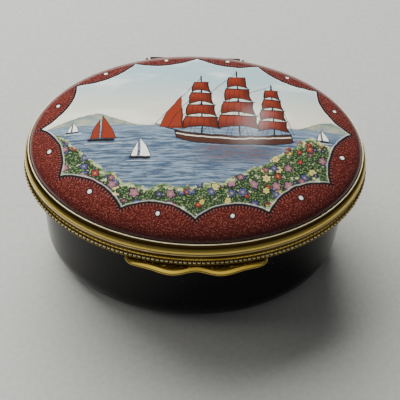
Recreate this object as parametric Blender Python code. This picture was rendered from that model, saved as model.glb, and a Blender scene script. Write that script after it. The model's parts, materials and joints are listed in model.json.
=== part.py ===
"""An oval enamelled trinket box with a hinged, domed lid, in metres with +Z up.

The origin is at the middle of the flat underside. The long way of the box lies along X, the thumbpiece
is at the front (-Y) and the hinge is at the back (+Y). The lid is closed.
"""
import math

import bmesh
import bpy
from mathutils import Vector

# Size of the box over the beaded edge of the lid's rim
HALF_LENGTH = 0.0320
HALF_DEPTH = 0.02372

# Clearance between pieces that touch
GAP = 0.0003

# Bowl: enamelled copper, straight in the wall and turned in to a flat underside
BOWL_HEIGHT = 0.02363
BOWL_SETBACK = 0.00278
BOWL_WALL = 0.0012
BOWL_FLOOR = 0.0014
FOOT_TURN_IN = 0.0035
FOOT_TURN_HEIGHT = 0.0071

# Base mount: gilt channel over the bowl's edge, with a face that the lid rests on
BASE_MOUNT_TOP = 0.0007
BASE_MOUNT_SETBACK = 0.0011
BASE_SKIRT = 0.0009
INNER_SKIRT = 0.0011
INNER_SKIRT_WALL = 0.0006
BEZEL_SETBACK = 0.0035
BEZEL_HEIGHT = 0.0010
BASE_MOULDING_RADIUS = 0.00022

# Lid mount: gilt moulded rim, from the thin lip round the dome down to the beaded edge
LID_MOUNT_HEIGHT = 0.00451
LIP_SETBACK = 0.00116
LIP_RADIUS = 0.00011
LIP_COVE = 0.00012
LIP_DROP = 0.0010
BAND_WIDTH = 0.0007
BAND_HEIGHT = 0.00097
GROOVE_DEPTH = 0.00013
FILLET_HEIGHT = 0.0002
FILLET_SETBACK = 0.00036
COVE_DEPTH = 0.0001
BEAD_RADIUS = 0.00036
EDGE_HEIGHT = 0.00012
EDGE_SETBACK = 0.00005
LID_WALL = 0.0017
LEDGE_WIDTH = 0.0016
LEDGE_HEIGHT = 0.0018
LEDGE_THICKNESS = 0.0008

# Dome: enamelled copper, steep at the edge and gently rounded over the middle
DOME_RISE = 0.0050
DOME_FULLNESS = 2.4
DOME_WALL = 0.0012
DOME_SEAT_DROP = 0.0004

# Thumbpiece: wavy gilt lip soldered under the front of the lid's rim
THUMB_HALF_WIDTH = 0.0126
THUMB_REACH = 0.0014
THUMB_WAVE = 0.00062
THUMB_WAVE_LENGTH = 0.0093
THUMB_THICKNESS = 0.0010
THUMB_ROLL = 0.00045
THUMB_ROOT = 0.00085
THUMB_EDGE_LIFT = 0.00012
THUMB_FADE = 0.9
THUMB_END_POWER = 6

# Hinge: two leaves with interlocking knuckles on one pin
HINGE_SETOUT = 0.00195
KNUCKLE_COUNT = 5
KNUCKLE_LENGTH = 0.0037
KNUCKLE_RADIUS = 0.0010
PIN_RADIUS = 0.00035
PIN_HEAD_RADIUS = 0.00075
PIN_HEAD_LENGTH = 0.0005
LEAF_THICKNESS = 0.00095
LEAF_OVERLAP = 0.0003
LEAF_STEP = 0.00015
LID_LEAF_LIFT = 0.0001
BASE_WEB_DROP = 0.0004
BASE_WEB_FRONT_ANGLE = math.radians(199)
BASE_WEB_BACK_ANGLE = math.radians(-60)

# Fineness of the faceted solids
SEGMENTS = 56
TURN_STEPS = 6
DOME_STEPS = 8
ARC_STEPS = 4
THUMB_STATIONS = 32
LEAF_STATIONS = 12
KNUCKLE_STEPS = 18
BAR_SIDES = 20
SHARP_ANGLE = math.radians(35)

# Levels and places worked out from the sizes above
BEARING_LEVEL = BOWL_HEIGHT + GAP + BASE_MOUNT_TOP
LID_LEVEL = BEARING_LEVEL + GAP
LIP_LEVEL = LID_LEVEL + LID_MOUNT_HEIGHT
LEDGE_LEVEL = LID_LEVEL + LEDGE_HEIGHT + LEDGE_THICKNESS
DOME_SETBACK = LIP_SETBACK + 2 * LIP_RADIUS + GAP
DOME_SEAT = LIP_LEVEL - DOME_SEAT_DROP
HINGE_AXIS = Vector((0, HALF_DEPTH + HINGE_SETOUT, LID_LEVEL))
HINGE_WIDTH = KNUCKLE_COUNT * KNUCKLE_LENGTH
QUARTER_TURN = math.pi / 2

# Colours of the finishes, as red, green and blue
AUBERGINE_BLACK = (0.012, 0.008, 0.012)
GILT = (0.72, 0.50, 0.20)
BRICK_RED = (0.28, 0.045, 0.03)


def clear_scene():
    """Start from an empty scene."""
    for item in list(bpy.data.objects):
        bpy.data.objects.remove(item, do_unlink=True)


def finish(name, colour, roughness, metallic):
    """Make a plain material for one piece."""
    material = bpy.data.materials.new(name)
    material.use_nodes = True
    shader = material.node_tree.nodes["Principled BSDF"]
    shader.inputs["Base Color"].default_value = (*colour, 1)
    shader.inputs["Roughness"].default_value = roughness
    shader.inputs["Metallic"].default_value = metallic
    return material


def oval_point(angle, setback, level):
    """A point of the plan oval, set in from the beaded edge by the same amount all round."""
    x = (HALF_LENGTH - setback) * math.cos(angle)
    y = (HALF_DEPTH - setback) * math.sin(angle)
    return Vector((x, y, level))


def oval_ring(setback, level):
    """A whole turn of the oval at one level."""
    step = 2 * math.pi / SEGMENTS
    return [oval_point(number * step, setback, level) for number in range(SEGMENTS)]


def add_object(name, mesh_builder, material, origin=Vector((0, 0, 0))):
    """Close a bmesh into an object whose faces point outwards, with its origin where asked."""
    bmesh.ops.recalc_face_normals(mesh_builder, faces=mesh_builder.faces)
    bmesh.ops.translate(mesh_builder, verts=mesh_builder.verts, vec=-origin)
    mesh = bpy.data.meshes.new(name)
    mesh_builder.to_mesh(mesh)
    mesh_builder.free()
    mesh.shade_smooth()
    mesh.set_sharp_from_angle(angle=SHARP_ANGLE)
    piece = bpy.data.objects.new(name, mesh)
    piece.location = origin
    piece.data.materials.append(material)
    bpy.context.collection.objects.link(piece)
    return piece


def bridge(mesh_builder, first, second):
    """Join two closed rows of vertices with faces."""
    for number in range(len(first)):
        after = (number + 1) % len(first)
        mesh_builder.faces.new((first[number], first[after], second[after], second[number]))


def ring_solid(name, section, material, origin=Vector((0, 0, 0))):
    """Sweep a closed section of (setback, level) points once round the oval."""
    mesh_builder = bmesh.new()
    rows = []
    for setback, level in section:
        rows.append([mesh_builder.verts.new(point) for point in oval_ring(setback, level)])
    for number, row in enumerate(rows):
        bridge(mesh_builder, row, rows[(number + 1) % len(rows)])
    return add_object(name, mesh_builder, material, origin)


def vessel_solid(name, rings, low_cap, high_cap, material, origin=Vector((0, 0, 0))):
    """Skin a stack of rings and close each end, with a flat face or with a fan to a point."""
    mesh_builder = bmesh.new()
    rows = [[mesh_builder.verts.new(point) for point in ring] for ring in rings]
    for first, second in zip(rows, rows[1:]):
        bridge(mesh_builder, first, second)
    for row, cap in ((rows[0], low_cap), (rows[-1], high_cap)):
        if cap is None:
            mesh_builder.faces.new(row)
        else:
            tip = mesh_builder.verts.new(cap)
            for number in range(len(row)):
                mesh_builder.faces.new((row[number], row[(number + 1) % len(row)], tip))
    return add_object(name, mesh_builder, material, origin)


def arc(centre, radius, start, end, steps):
    """Points of a circular arc in the (setback, level) plane, where outwards is less setback."""
    points = []
    for number in range(steps + 1):
        angle = start + (end - start) * number / steps
        points.append((centre[0] - radius * math.cos(angle), centre[1] + radius * math.sin(angle)))
    return points


def turned_in_wall(mouth, mouth_level, floor_level, turn_in, turn_height):
    """Rings of a straight wall that turns in to a floor, from the floor up to the mouth."""
    rings = []
    for number in range(TURN_STEPS + 1):
        angle = QUARTER_TURN * number / TURN_STEPS
        setback = mouth + turn_in * (1 - math.sin(angle))
        rings.append(oval_ring(setback, floor_level + turn_height * (1 - math.cos(angle))))
    rings.append(oval_ring(mouth, mouth_level))
    return rings


def build_bowl():
    """The bowl: outer wall up to the mouth, then the inner wall down to the floor."""
    outside = turned_in_wall(BOWL_SETBACK, BOWL_HEIGHT, 0, FOOT_TURN_IN, FOOT_TURN_HEIGHT)
    inner_turn = FOOT_TURN_HEIGHT - BOWL_FLOOR
    inside = turned_in_wall(BOWL_SETBACK + BOWL_WALL, BOWL_HEIGHT, BOWL_FLOOR, FOOT_TURN_IN, inner_turn)
    enamel = finish("bowl_enamel", AUBERGINE_BLACK, 0.12, 0.0)
    return vessel_solid("base_bowl", outside + inside[::-1], None, None, enamel)


def build_base_mount(gilt):
    """The channel over the bowl's edge, its moulded outer face, and the bezel inside the lid."""
    channel_top = BOWL_HEIGHT + GAP
    skirt_inside = BOWL_SETBACK - GAP
    bowl_inside = BOWL_SETBACK + BOWL_WALL + GAP
    inner_face = bowl_inside + INNER_SKIRT_WALL
    moulding_centre = (BASE_MOUNT_SETBACK + BASE_MOULDING_RADIUS, BEARING_LEVEL - 2 * BASE_MOULDING_RADIUS)
    moulding = arc(moulding_centre, BASE_MOULDING_RADIUS, QUARTER_TURN, -QUARTER_TURN, ARC_STEPS)
    bezel_top = BEARING_LEVEL + BEZEL_HEIGHT
    section = [(inner_face, bezel_top), (BEZEL_SETBACK, bezel_top), (BEZEL_SETBACK, BEARING_LEVEL)]
    section += [(moulding_centre[0], BEARING_LEVEL)]
    section += moulding
    section += [(skirt_inside - INNER_SKIRT_WALL / 2, channel_top - BASE_SKIRT)]
    section += [(skirt_inside, channel_top - BASE_SKIRT), (skirt_inside, channel_top)]
    section += [(bowl_inside, channel_top), (bowl_inside, channel_top - INNER_SKIRT)]
    section += [(inner_face, channel_top - INNER_SKIRT)]
    return ring_solid("base_mount", section, gilt)


def lid_mount_section():
    """The lid rim's section, from its lip down the moulded outside, then up the inside."""
    lip_centre = (LIP_SETBACK + LIP_RADIUS, LIP_LEVEL - LIP_RADIUS)
    section = arc(lip_centre, LIP_RADIUS, math.pi, 0, ARC_STEPS - 1)
    band_top = LIP_LEVEL - LIP_DROP
    section += [(LIP_SETBACK + LIP_COVE, (lip_centre[1] + band_top) / 2)]
    for number in range(ARC_STEPS + 1):
        angle = QUARTER_TURN * (1 - number / ARC_STEPS)
        setback = LIP_SETBACK - BAND_WIDTH * math.cos(angle)
        section += [(setback, band_top - BAND_HEIGHT + BAND_HEIGHT * math.sin(angle))]
    groove_level = band_top - BAND_HEIGHT
    groove_setback = LIP_SETBACK - BAND_WIDTH + GROOVE_DEPTH
    section += [(groove_setback, groove_level), (groove_setback, groove_level - FILLET_HEIGHT / 2)]
    fillet_level = groove_level - FILLET_HEIGHT
    section += [(FILLET_SETBACK, fillet_level), (FILLET_SETBACK, fillet_level - FILLET_HEIGHT)]
    bead_centre = (BEAD_RADIUS, LID_LEVEL + EDGE_HEIGHT + BEAD_RADIUS)
    bead_top = bead_centre[1] + BEAD_RADIUS
    section += [(FILLET_SETBACK + COVE_DEPTH, (fillet_level + bead_top) / 2)]
    section += arc(bead_centre, BEAD_RADIUS, QUARTER_TURN, -QUARTER_TURN, ARC_STEPS)
    section += [(EDGE_SETBACK, LID_LEVEL + EDGE_HEIGHT), (EDGE_SETBACK, LID_LEVEL)]
    wall_inside = EDGE_SETBACK + LID_WALL
    ledge_inside = wall_inside + LEDGE_WIDTH
    section += [(wall_inside, LID_LEVEL), (wall_inside, LEDGE_LEVEL - LEDGE_THICKNESS)]
    section += [(ledge_inside, LEDGE_LEVEL - LEDGE_THICKNESS), (ledge_inside, LEDGE_LEVEL)]
    section += [(LIP_SETBACK + 2 * LIP_RADIUS, LEDGE_LEVEL)]
    return section


def dome_rings(setback, rise, edge_level, steps):
    """Rings of the dome's skin from its edge to near its crown, on a full, square-shouldered curve."""
    rings = [oval_ring(setback, edge_level)]
    for number in range(steps):
        angle = QUARTER_TURN * (1 - number / steps)
        share = math.sin(angle) ** (2 / DOME_FULLNESS)
        height = rise * max(math.cos(angle), 0) ** (2 / DOME_FULLNESS)
        flat = oval_ring(setback, DOME_SEAT + height)
        rings.append([Vector((point.x * share, point.y * share, point.z)) for point in flat])
    return rings


def build_dome():
    """The lid's dome: outer skin from the crown to the edge, then the inner skin back to the crown."""
    edge_level = LEDGE_LEVEL + GAP
    outside = dome_rings(DOME_SETBACK, DOME_RISE, edge_level, DOME_STEPS)
    inside = dome_rings(DOME_SETBACK + DOME_WALL, DOME_RISE - DOME_WALL, edge_level, TURN_STEPS)
    outer_crown = Vector((0, 0, DOME_SEAT + DOME_RISE))
    inner_crown = Vector((0, 0, DOME_SEAT + DOME_RISE - DOME_WALL))
    enamel = finish("dome_enamel", BRICK_RED, 0.12, 0.0)
    rings = outside[::-1] + inside
    return vessel_solid("lid_dome", rings, outer_crown, inner_crown, enamel, HINGE_AXIS)


def thumb_reach(x):
    """How far the thumbpiece stands out past the beaded edge: waves that fade to the ends."""
    share = abs(x) / THUMB_HALF_WIDTH
    wave = THUMB_WAVE * (1 - THUMB_FADE * share) * math.cos(2 * math.pi * x / THUMB_WAVE_LENGTH)
    ends = math.sqrt(max(1 - share ** THUMB_END_POWER, 0))
    return (THUMB_REACH - wave) * ends


def build_thumbpiece(gilt):
    """The wavy lip, rounded over along its front, as a row of sections under the front of the rim."""
    top = LID_LEVEL - GAP
    bottom = top - THUMB_THICKNESS
    edge_radius = THUMB_THICKNESS / 2
    mesh_builder = bmesh.new()
    rows = []
    for number in range(THUMB_STATIONS + 1):
        x = THUMB_HALF_WIDTH * (2 * number / THUMB_STATIONS - 1)
        reach = thumb_reach(x)
        angle = -math.acos(x / HALF_LENGTH)
        section = [(THUMB_ROOT, bottom), (THUMB_ROOT, top)]
        centre = (THUMB_ROLL - reach, (top + bottom + THUMB_EDGE_LIFT) / 2)
        for turn in range(ARC_STEPS + 1):
            turned = QUARTER_TURN * (1 - 2 * turn / ARC_STEPS)
            setback = centre[0] - THUMB_ROLL * math.cos(turned)
            section += [(setback, centre[1] + (edge_radius - THUMB_EDGE_LIFT / 2) * math.sin(turned))]
        rows.append([mesh_builder.verts.new(oval_point(angle, *point)) for point in section])
    for first, second in zip(rows, rows[1:]):
        bridge(mesh_builder, first, second)
    mesh_builder.faces.new(rows[0])
    mesh_builder.faces.new(rows[-1])
    return add_object("thumbpiece", mesh_builder, gilt, HINGE_AXIS)


def prism(name, outline, start, end, material):
    """Extrude an outline of (y, z) points along X."""
    mesh_builder = bmesh.new()
    first = [mesh_builder.verts.new((start, y, z)) for y, z in outline]
    second = [mesh_builder.verts.new((end, y, z)) for y, z in outline]
    bridge(mesh_builder, first, second)
    mesh_builder.faces.new(first)
    mesh_builder.faces.new(second)
    return add_object(name, mesh_builder, material, HINGE_AXIS)


def leaf_strip(name, front, back, material):
    """A strip behind the rim: its front follows the oval, from its top down, and its back is flat."""
    mesh_builder = bmesh.new()
    rows = []
    for number in range(LEAF_STATIONS + 1):
        x = (HINGE_WIDTH - GAP) * (number / LEAF_STATIONS - 0.5)
        row = [(x, back, front[-1][1]), (x, back, front[0][1])]
        for setback, level in front:
            share = x / (HALF_LENGTH - setback)
            row.append((x, (HALF_DEPTH - setback) * math.sqrt(1 - share * share), level))
        rows.append([mesh_builder.verts.new(point) for point in row])
    for first, second in zip(rows, rows[1:]):
        bridge(mesh_builder, first, second)
    mesh_builder.faces.new(rows[0])
    mesh_builder.faces.new(rows[-1])
    return add_object(name, mesh_builder, material, HINGE_AXIS)


def knuckle_outline(start, end, corners):
    """A knuckle's outline: the round of the barrel from one angle to another, then the web's corners."""
    outline = []
    for number in range(KNUCKLE_STEPS + 1):
        angle = start + (end - start) * number / KNUCKLE_STEPS
        y = HINGE_AXIS.y + KNUCKLE_RADIUS * math.cos(angle)
        outline.append((y, HINGE_AXIS.z + KNUCKLE_RADIUS * math.sin(angle)))
    return outline + corners


def knuckle_span(number):
    """Where a knuckle starts and ends along the hinge."""
    start = -HINGE_WIDTH / 2 + number * KNUCKLE_LENGTH
    return start + GAP / 2, start + KNUCKLE_LENGTH - GAP / 2


def merge(piece, helper, operation):
    """Join a helper shape to a piece, or cut it away, and leave the helper out of the model."""
    change = piece.modifiers.new(helper.name, "BOOLEAN")
    change.object = helper
    change.operation = operation
    change.solver = "EXACT"
    helper.hide_render = True
    helper.display_type = "WIRE"


def round_bar(name, profile, material):
    """Turn a profile of (x, radius) points about the hinge's axis."""
    mesh_builder = bmesh.new()
    rows = []
    for x, radius in profile:
        row = []
        for number in range(BAR_SIDES):
            angle = 2 * math.pi * number / BAR_SIDES
            offset = Vector((x, radius * math.cos(angle), radius * math.sin(angle)))
            row.append(mesh_builder.verts.new(HINGE_AXIS + offset))
        rows.append(row)
    for first, second in zip(rows, rows[1:]):
        bridge(mesh_builder, first, second)
    mesh_builder.faces.new(rows[0])
    mesh_builder.faces.new(rows[-1])
    return add_object(name, mesh_builder, material, HINGE_AXIS)


def build_leaf(side, knuckles, outline, front, back, material):
    """One leaf: the strip along the rim with its knuckles joined on, bored for the pin."""
    leaf = leaf_strip(f"hinge_{side}_leaf", front, back, material)
    for number in knuckles:
        start, end = knuckle_span(number)
        knuckle = prism(f"{side}_knuckle_{number}", outline, start, end, material)
        merge(leaf, knuckle, "UNION")
    bore_radius = PIN_RADIUS + GAP
    bore = round_bar(f"{side}_bore", [(-HINGE_WIDTH, bore_radius), (HINGE_WIDTH, bore_radius)], material)
    merge(leaf, bore, "DIFFERENCE")
    return leaf


def build_base_leaf(gilt):
    """The leaf under the lid's rim, with a web that rises behind the rim to each of its knuckles."""
    low = BEARING_LEVEL - LEAF_THICKNESS
    setback = BASE_MOUNT_SETBACK - GAP
    front = [(setback, BEARING_LEVEL), (setback, low)]
    web_front = HALF_DEPTH + GAP
    web_bottom = low + LEAF_STEP
    web = [(web_front, HINGE_AXIS.z - BASE_WEB_DROP), (web_front, web_bottom)]
    web += [(HINGE_AXIS.y, web_bottom)]
    outline = knuckle_outline(BASE_WEB_BACK_ANGLE, BASE_WEB_FRONT_ANGLE, web)
    return build_leaf("base", range(0, KNUCKLE_COUNT, 2), outline, front, web_front + LEAF_OVERLAP, gilt)


def build_lid_leaf(gilt):
    """The leaf along the lid's beaded edge, with a web back to each of its knuckles."""
    low = LID_LEVEL + LID_LEAF_LIFT
    high = low + LEAF_THICKNESS
    front = [(-GAP, high), (-GAP, low)]
    back = HINGE_AXIS.y - KNUCKLE_RADIUS - GAP
    web_top = high - LEAF_STEP
    web_bottom = low + LEAF_STEP
    web = [(back - LEAF_OVERLAP, web_top), (back - LEAF_OVERLAP, web_bottom)]
    top_angle = math.pi - math.asin((web_top - HINGE_AXIS.z) / KNUCKLE_RADIUS)
    low_angle = -math.pi - math.asin((web_bottom - HINGE_AXIS.z) / KNUCKLE_RADIUS)
    outline = knuckle_outline(low_angle, top_angle, web)
    return build_leaf("lid", range(1, KNUCKLE_COUNT, 2), outline, front, back, gilt)


def build_pin(gilt):
    """The pin through the knuckles, with a low head at each end."""
    end = HINGE_WIDTH / 2 + GAP
    head = end + PIN_HEAD_LENGTH
    bevel = PIN_HEAD_LENGTH / 3
    half = [(end, PIN_RADIUS), (end, PIN_HEAD_RADIUS)]
    half += [(head - bevel, PIN_HEAD_RADIUS), (head, PIN_HEAD_RADIUS - bevel)]
    profile = [(-x, radius) for x, radius in half[::-1]] + half
    return round_bar("hinge_pin", profile, gilt)


def build_box():
    """Build every piece of the box."""
    clear_scene()
    gilt = finish("gilt", GILT, 0.22, 1.0)
    build_bowl()
    build_base_mount(gilt)
    build_dome()
    ring_solid("lid_mount", lid_mount_section(), gilt, HINGE_AXIS)
    build_thumbpiece(gilt)
    build_base_leaf(gilt)
    build_lid_leaf(gilt)
    build_pin(gilt)


build_box()
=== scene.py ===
"""Dresses an oval enamelled trinket box: gilt mounts with a milled edge, a painted dome and a glossy bowl.

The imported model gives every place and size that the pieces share. Lengths are in metres, and the painted
picture on the lid is laid out in millimetres from the middle of the dome, as seen from above.
"""
import json
import math

import bpy
from mathutils import Matrix, Vector

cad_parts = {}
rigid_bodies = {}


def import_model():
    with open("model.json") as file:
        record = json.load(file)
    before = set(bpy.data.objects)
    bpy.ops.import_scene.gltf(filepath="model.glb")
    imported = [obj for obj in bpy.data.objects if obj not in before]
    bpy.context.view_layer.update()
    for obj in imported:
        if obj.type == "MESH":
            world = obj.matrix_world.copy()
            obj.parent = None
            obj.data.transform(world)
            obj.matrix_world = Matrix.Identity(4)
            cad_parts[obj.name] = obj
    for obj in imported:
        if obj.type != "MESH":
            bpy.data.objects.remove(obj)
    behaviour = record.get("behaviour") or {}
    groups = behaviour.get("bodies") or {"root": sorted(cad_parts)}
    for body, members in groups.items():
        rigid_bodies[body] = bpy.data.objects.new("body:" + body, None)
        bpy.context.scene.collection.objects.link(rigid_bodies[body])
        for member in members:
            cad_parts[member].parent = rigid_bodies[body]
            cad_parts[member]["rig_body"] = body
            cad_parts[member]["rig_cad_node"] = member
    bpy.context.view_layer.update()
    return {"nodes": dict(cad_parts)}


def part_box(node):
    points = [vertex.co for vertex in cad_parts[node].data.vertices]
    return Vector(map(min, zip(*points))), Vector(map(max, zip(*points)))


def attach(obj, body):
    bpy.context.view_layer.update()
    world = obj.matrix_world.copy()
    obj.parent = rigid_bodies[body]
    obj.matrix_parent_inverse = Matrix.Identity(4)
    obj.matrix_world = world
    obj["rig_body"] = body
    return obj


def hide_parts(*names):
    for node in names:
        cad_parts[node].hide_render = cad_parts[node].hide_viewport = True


bl_info = {
    "name": "Enamel Trinket Box",
    "version": (1, 0, 0),
    "blender": (4, 5, 0),
    "location": "View3D > Sidebar > Trinket Box",
    "description": "Models an oval enamelled box with gilt mounts and a painted lid",
    "category": "Add Mesh",
}

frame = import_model()

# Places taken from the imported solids
RIM_LOW, RIM_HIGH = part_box("lid_mount")
BOWL_LOW, BOWL_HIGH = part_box("base_bowl")
MOUNT_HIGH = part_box("base_mount")[1]
DOME_LOW, DOME_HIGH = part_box("lid_dome")
HALF_LENGTH = RIM_HIGH.x
HALF_DEPTH = RIM_HIGH.y
LID_LEVEL = RIM_LOW.z
LIP_LEVEL = RIM_HIGH.z
BOWL_SETBACK = HALF_LENGTH - BOWL_HIGH.x
BASE_MOUNT_SETBACK = HALF_LENGTH - MOUNT_HIGH.x
DOME_SETBACK = HALF_LENGTH - DOME_HIGH.x

MM = 0.001
QUARTER_TURN = math.pi / 2
OVAL_STEPS = 224
ARC_STEPS = 8


# Sizes and colours that a user would change

class BoxSizes(bpy.types.PropertyGroup):
    """Sizes of the details that the solids leave plain."""
    bead_count: bpy.props.IntProperty(
        name="Beads", description="Ribs milled round the edge of the lid", default=217, min=24)
    bead_relief: bpy.props.FloatProperty(
        name="Bead relief", description="How far the ribs stand out of the edge",
        default=0.00017, subtype="DISTANCE", unit="LENGTH")
    glaze_ripple: bpy.props.FloatProperty(
        name="Glaze ripple", description="Height of the ripple in the fired glaze",
        default=0.00001, subtype="DISTANCE", unit="LENGTH")
    scallop_depth: bpy.props.FloatProperty(
        name="Scallop depth", description="How far each scallop of the border bulges past its two points",
        default=0.0019, subtype="DISTANCE", unit="LENGTH")
    pearl_radius: bpy.props.FloatProperty(
        name="Pearl radius", description="Radius of the white dot in each scallop",
        default=0.00036, subtype="DISTANCE", unit="LENGTH")
    softbox_size: bpy.props.FloatProperty(
        name="Softbox size", description="Side of the largest studio light",
        default=0.5, subtype="DISTANCE", unit="LENGTH")


def colour_property(name, description, default):
    """A colour that a user can pick."""
    return bpy.props.FloatVectorProperty(
        name=name, description=description, default=default, subtype="COLOR", size=3, min=0, max=1)


class BoxColours(bpy.types.PropertyGroup):
    """Colours of the finishes."""
    gilt: colour_property("Gilt", "Polished gilding", (0.72, 0.52, 0.115))
    # Painted highlight, laid on the lid rim's lip and fillet and along the tops of the beads
    painted_highlight: colour_property("Burnish", "Gilding where handling has brightened it", (1.0, 0.86, 0.52))
    # Dull gilding for random smudges, and painted shade in the rims' recesses, at the thumbpiece's root and
    # over the hinge
    tarnish_and_shade: colour_property("Tarnish", "Gilding where polish doesn't reach", (0.060, 0.028, 0.005))
    # Painted highlight on the thumbpiece's rolled front and lower edge, and also the colour of its solder
    shine_and_solder: colour_property("Shine", "Front of the thumbpiece, where it catches light", (1.0, 0.70, 0.09))
    bowl: colour_property("Bowl", "Enamel outside the bowl", (0.0022, 0.0015, 0.0024))
    bowl_mottle: colour_property("Bowl mottle", "Faint patches outside the bowl", (0.003, 0.002, 0.003))
    lining: colour_property("Lining", "Enamel inside the box", (0.78, 0.74, 0.64))
    lining_mottle: colour_property("Lining mottle", "Faint patches inside the box", (0.75, 0.71, 0.61))
    dust: colour_property("Dust", "Dust and pinholes on the glaze", (0.35, 0.33, 0.30))
    border: colour_property("Border", "Ground of the lid's border", (0.080, 0.013, 0.010))
    border_light: colour_property("Border specks", "Light specks of the border", (0.24, 0.062, 0.044))
    # Dark specks, and also the painted shade along the border's edge by the lip
    border_dark: colour_property("Border shade", "Dark specks of the border", (0.026, 0.005, 0.004))
    # Painted sheen along the dome's edge at the sides
    border_sheen: colour_property("Border sheen", "Thin line along the dome's edge", (0.17, 0.125, 0.14))
    # Outlines, and also the painted shadow of the gap at the lip and a painted dark line of shade on the
    # thumbpiece
    ink_and_shadow: colour_property("Ink", "Outlines of the picture", (0.012, 0.011, 0.012))
    cream: colour_property("Cream", "Pale line and pearls", (0.80, 0.78, 0.70))
    sail: colour_property("Sails", "Tanned sails in the light", (0.20, 0.028, 0.012))
    sail_shade: colour_property("Sail shade", "Tanned sails in the shade", (0.065, 0.010, 0.006))
    planks: colour_property("Planks", "Hull of the ship", (0.060, 0.022, 0.014))
    sky: colour_property("Sky", "High sky", (0.30, 0.42, 0.44))
    haze: colour_property("Haze", "Sky over the horizon", (0.62, 0.59, 0.46))
    cloud: colour_property("Cloud", "Soft cloud", (0.82, 0.82, 0.76))
    hill: colour_property("Hill", "Far hills", (0.16, 0.21, 0.20))
    hill_light: colour_property("Hill light", "Fields on the far hills", (0.30, 0.32, 0.20))
    hill_haze: colour_property("Hill haze", "Foot of the far hills", (0.34, 0.36, 0.33))
    sea: colour_property("Sea", "Water", (0.052, 0.082, 0.125))
    sea_shade: colour_property("Sea shade", "Dark ripples", (0.022, 0.034, 0.055))
    sea_light: colour_property("Sea light", "Light on the water", (0.21, 0.28, 0.345))
    grass: colour_property("Grass", "Banks in front", (0.14, 0.21, 0.07))
    straw: colour_property("Straw", "Dry grass on the banks", (0.47, 0.50, 0.27))
    leaf: colour_property("Leaf", "Shrubs on the banks", (0.022, 0.050, 0.020))
    leaf_light: colour_property("Leaf light", "Young leaves of the shrubs", (0.14, 0.22, 0.08))
    pollen: colour_property("Pollen", "Middles of the flowers", (0.34, 0.24, 0.06))
    backdrop: colour_property("Backdrop", "Studio floor", (0.44, 0.44, 0.41))
    air: colour_property("Air", "Soft light from all round", (0.93, 0.95, 1.0))


# Modelling by hand, in edit mode

def deselect_all():
    """Leave nothing selected, in object mode."""
    if bpy.context.object and bpy.context.object.mode != "OBJECT":
        bpy.ops.object.mode_set(mode="OBJECT")
    bpy.ops.object.select_all(action="DESELECT")


def start_oval(name, setback, level):
    """Add a circle and stretch it to the plan oval at one setback and level. Edit mode stays on."""
    deselect_all()
    bpy.ops.mesh.primitive_circle_add(vertices=OVAL_STEPS, radius=1, fill_type="NOTHING")
    piece = bpy.context.object
    piece.name = name
    piece.data.name = name
    bpy.ops.object.mode_set(mode="EDIT")
    bpy.ops.mesh.select_mode(type="VERT")
    bpy.ops.mesh.select_all(action="SELECT")
    bpy.ops.transform.resize(value=(HALF_LENGTH - setback, HALF_DEPTH - setback, 1))
    bpy.ops.transform.translate(value=(0, 0, level))
    return piece


def next_ring(stretch_x, stretch_y, rise):
    """Extrude the selected loop, then stretch and raise the new one."""
    bpy.ops.mesh.extrude_edges_move()
    bpy.ops.transform.resize(value=(stretch_x, stretch_y, 1), center_override=(0, 0, 0))
    bpy.ops.transform.translate(value=(0, 0, rise))


def run_ovals(name, section):
    """Draw a section of (setback, level) points round the oval, one extruded loop after another."""
    piece = start_oval(name, *section[0])
    for before, after in zip(section, section[1:]):
        stretch_x = (HALF_LENGTH - after[0]) / (HALF_LENGTH - before[0])
        stretch_y = (HALF_DEPTH - after[0]) / (HALF_DEPTH - before[0])
        next_ring(stretch_x, stretch_y, after[1] - before[1])
    return piece


def close_loop():
    """Join the first loop and the last one, which are the only open edges."""
    bpy.ops.mesh.select_all(action="DESELECT")
    bpy.ops.mesh.select_non_manifold()
    bpy.ops.mesh.bridge_edge_loops()


def close_pole():
    """Draw the selected loop in to a point, in a few steps that keep the facets even."""
    for stretch in (0.6, 0.5, 0.4):
        next_ring(stretch, stretch, 0)
    bpy.ops.mesh.extrude_edges_move()
    bpy.ops.mesh.merge(type="CENTER")


def outward(piece, sharp_angle=40):
    """Turn the faces outwards, leave edit mode and shade the piece smooth up to an angle."""
    bpy.ops.mesh.select_all(action="SELECT")
    bpy.ops.mesh.normals_make_consistent(inside=False)
    bpy.ops.object.mode_set(mode="OBJECT")
    bpy.ops.object.shade_smooth_by_angle(angle=math.radians(sharp_angle))
    return piece


def arc(centre, radius_out, radius_up, start, end, steps=ARC_STEPS):
    """Points of an elliptical arc of a section, in degrees: 0 faces outwards and 90 faces up."""
    points = []
    for number in range(steps + 1):
        angle = math.radians(start + (end - start) * number / steps)
        points.append((centre[0] - radius_out * math.cos(angle), centre[1] + radius_up * math.sin(angle)))
    return points


def put_material(piece, material):
    """Give the whole piece one material."""
    piece.data.materials.clear()
    piece.data.materials.append(material)


def line_inside(piece, material, is_inside):
    """Give a second material to the faces that a test picks by their middle and normal."""
    piece.data.materials.append(material)
    bpy.ops.object.mode_set(mode="EDIT")
    bpy.ops.mesh.select_mode(type="FACE")
    bpy.ops.mesh.select_all(action="DESELECT")
    bpy.ops.object.mode_set(mode="OBJECT")
    for face in piece.data.polygons:
        face.select = is_inside(face.center, face.normal)
    bpy.ops.object.mode_set(mode="EDIT")
    piece.active_material_index = 1
    bpy.ops.object.material_slot_assign()
    bpy.ops.object.mode_set(mode="OBJECT")


def apply_modifier(piece, kind, **settings):
    """Add a modifier to the piece and apply it."""
    change = piece.modifiers.new(kind.title(), kind)
    for key, value in settings.items():
        setattr(change, key, value)
    bpy.ops.object.modifier_apply(modifier=change.name)


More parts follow.
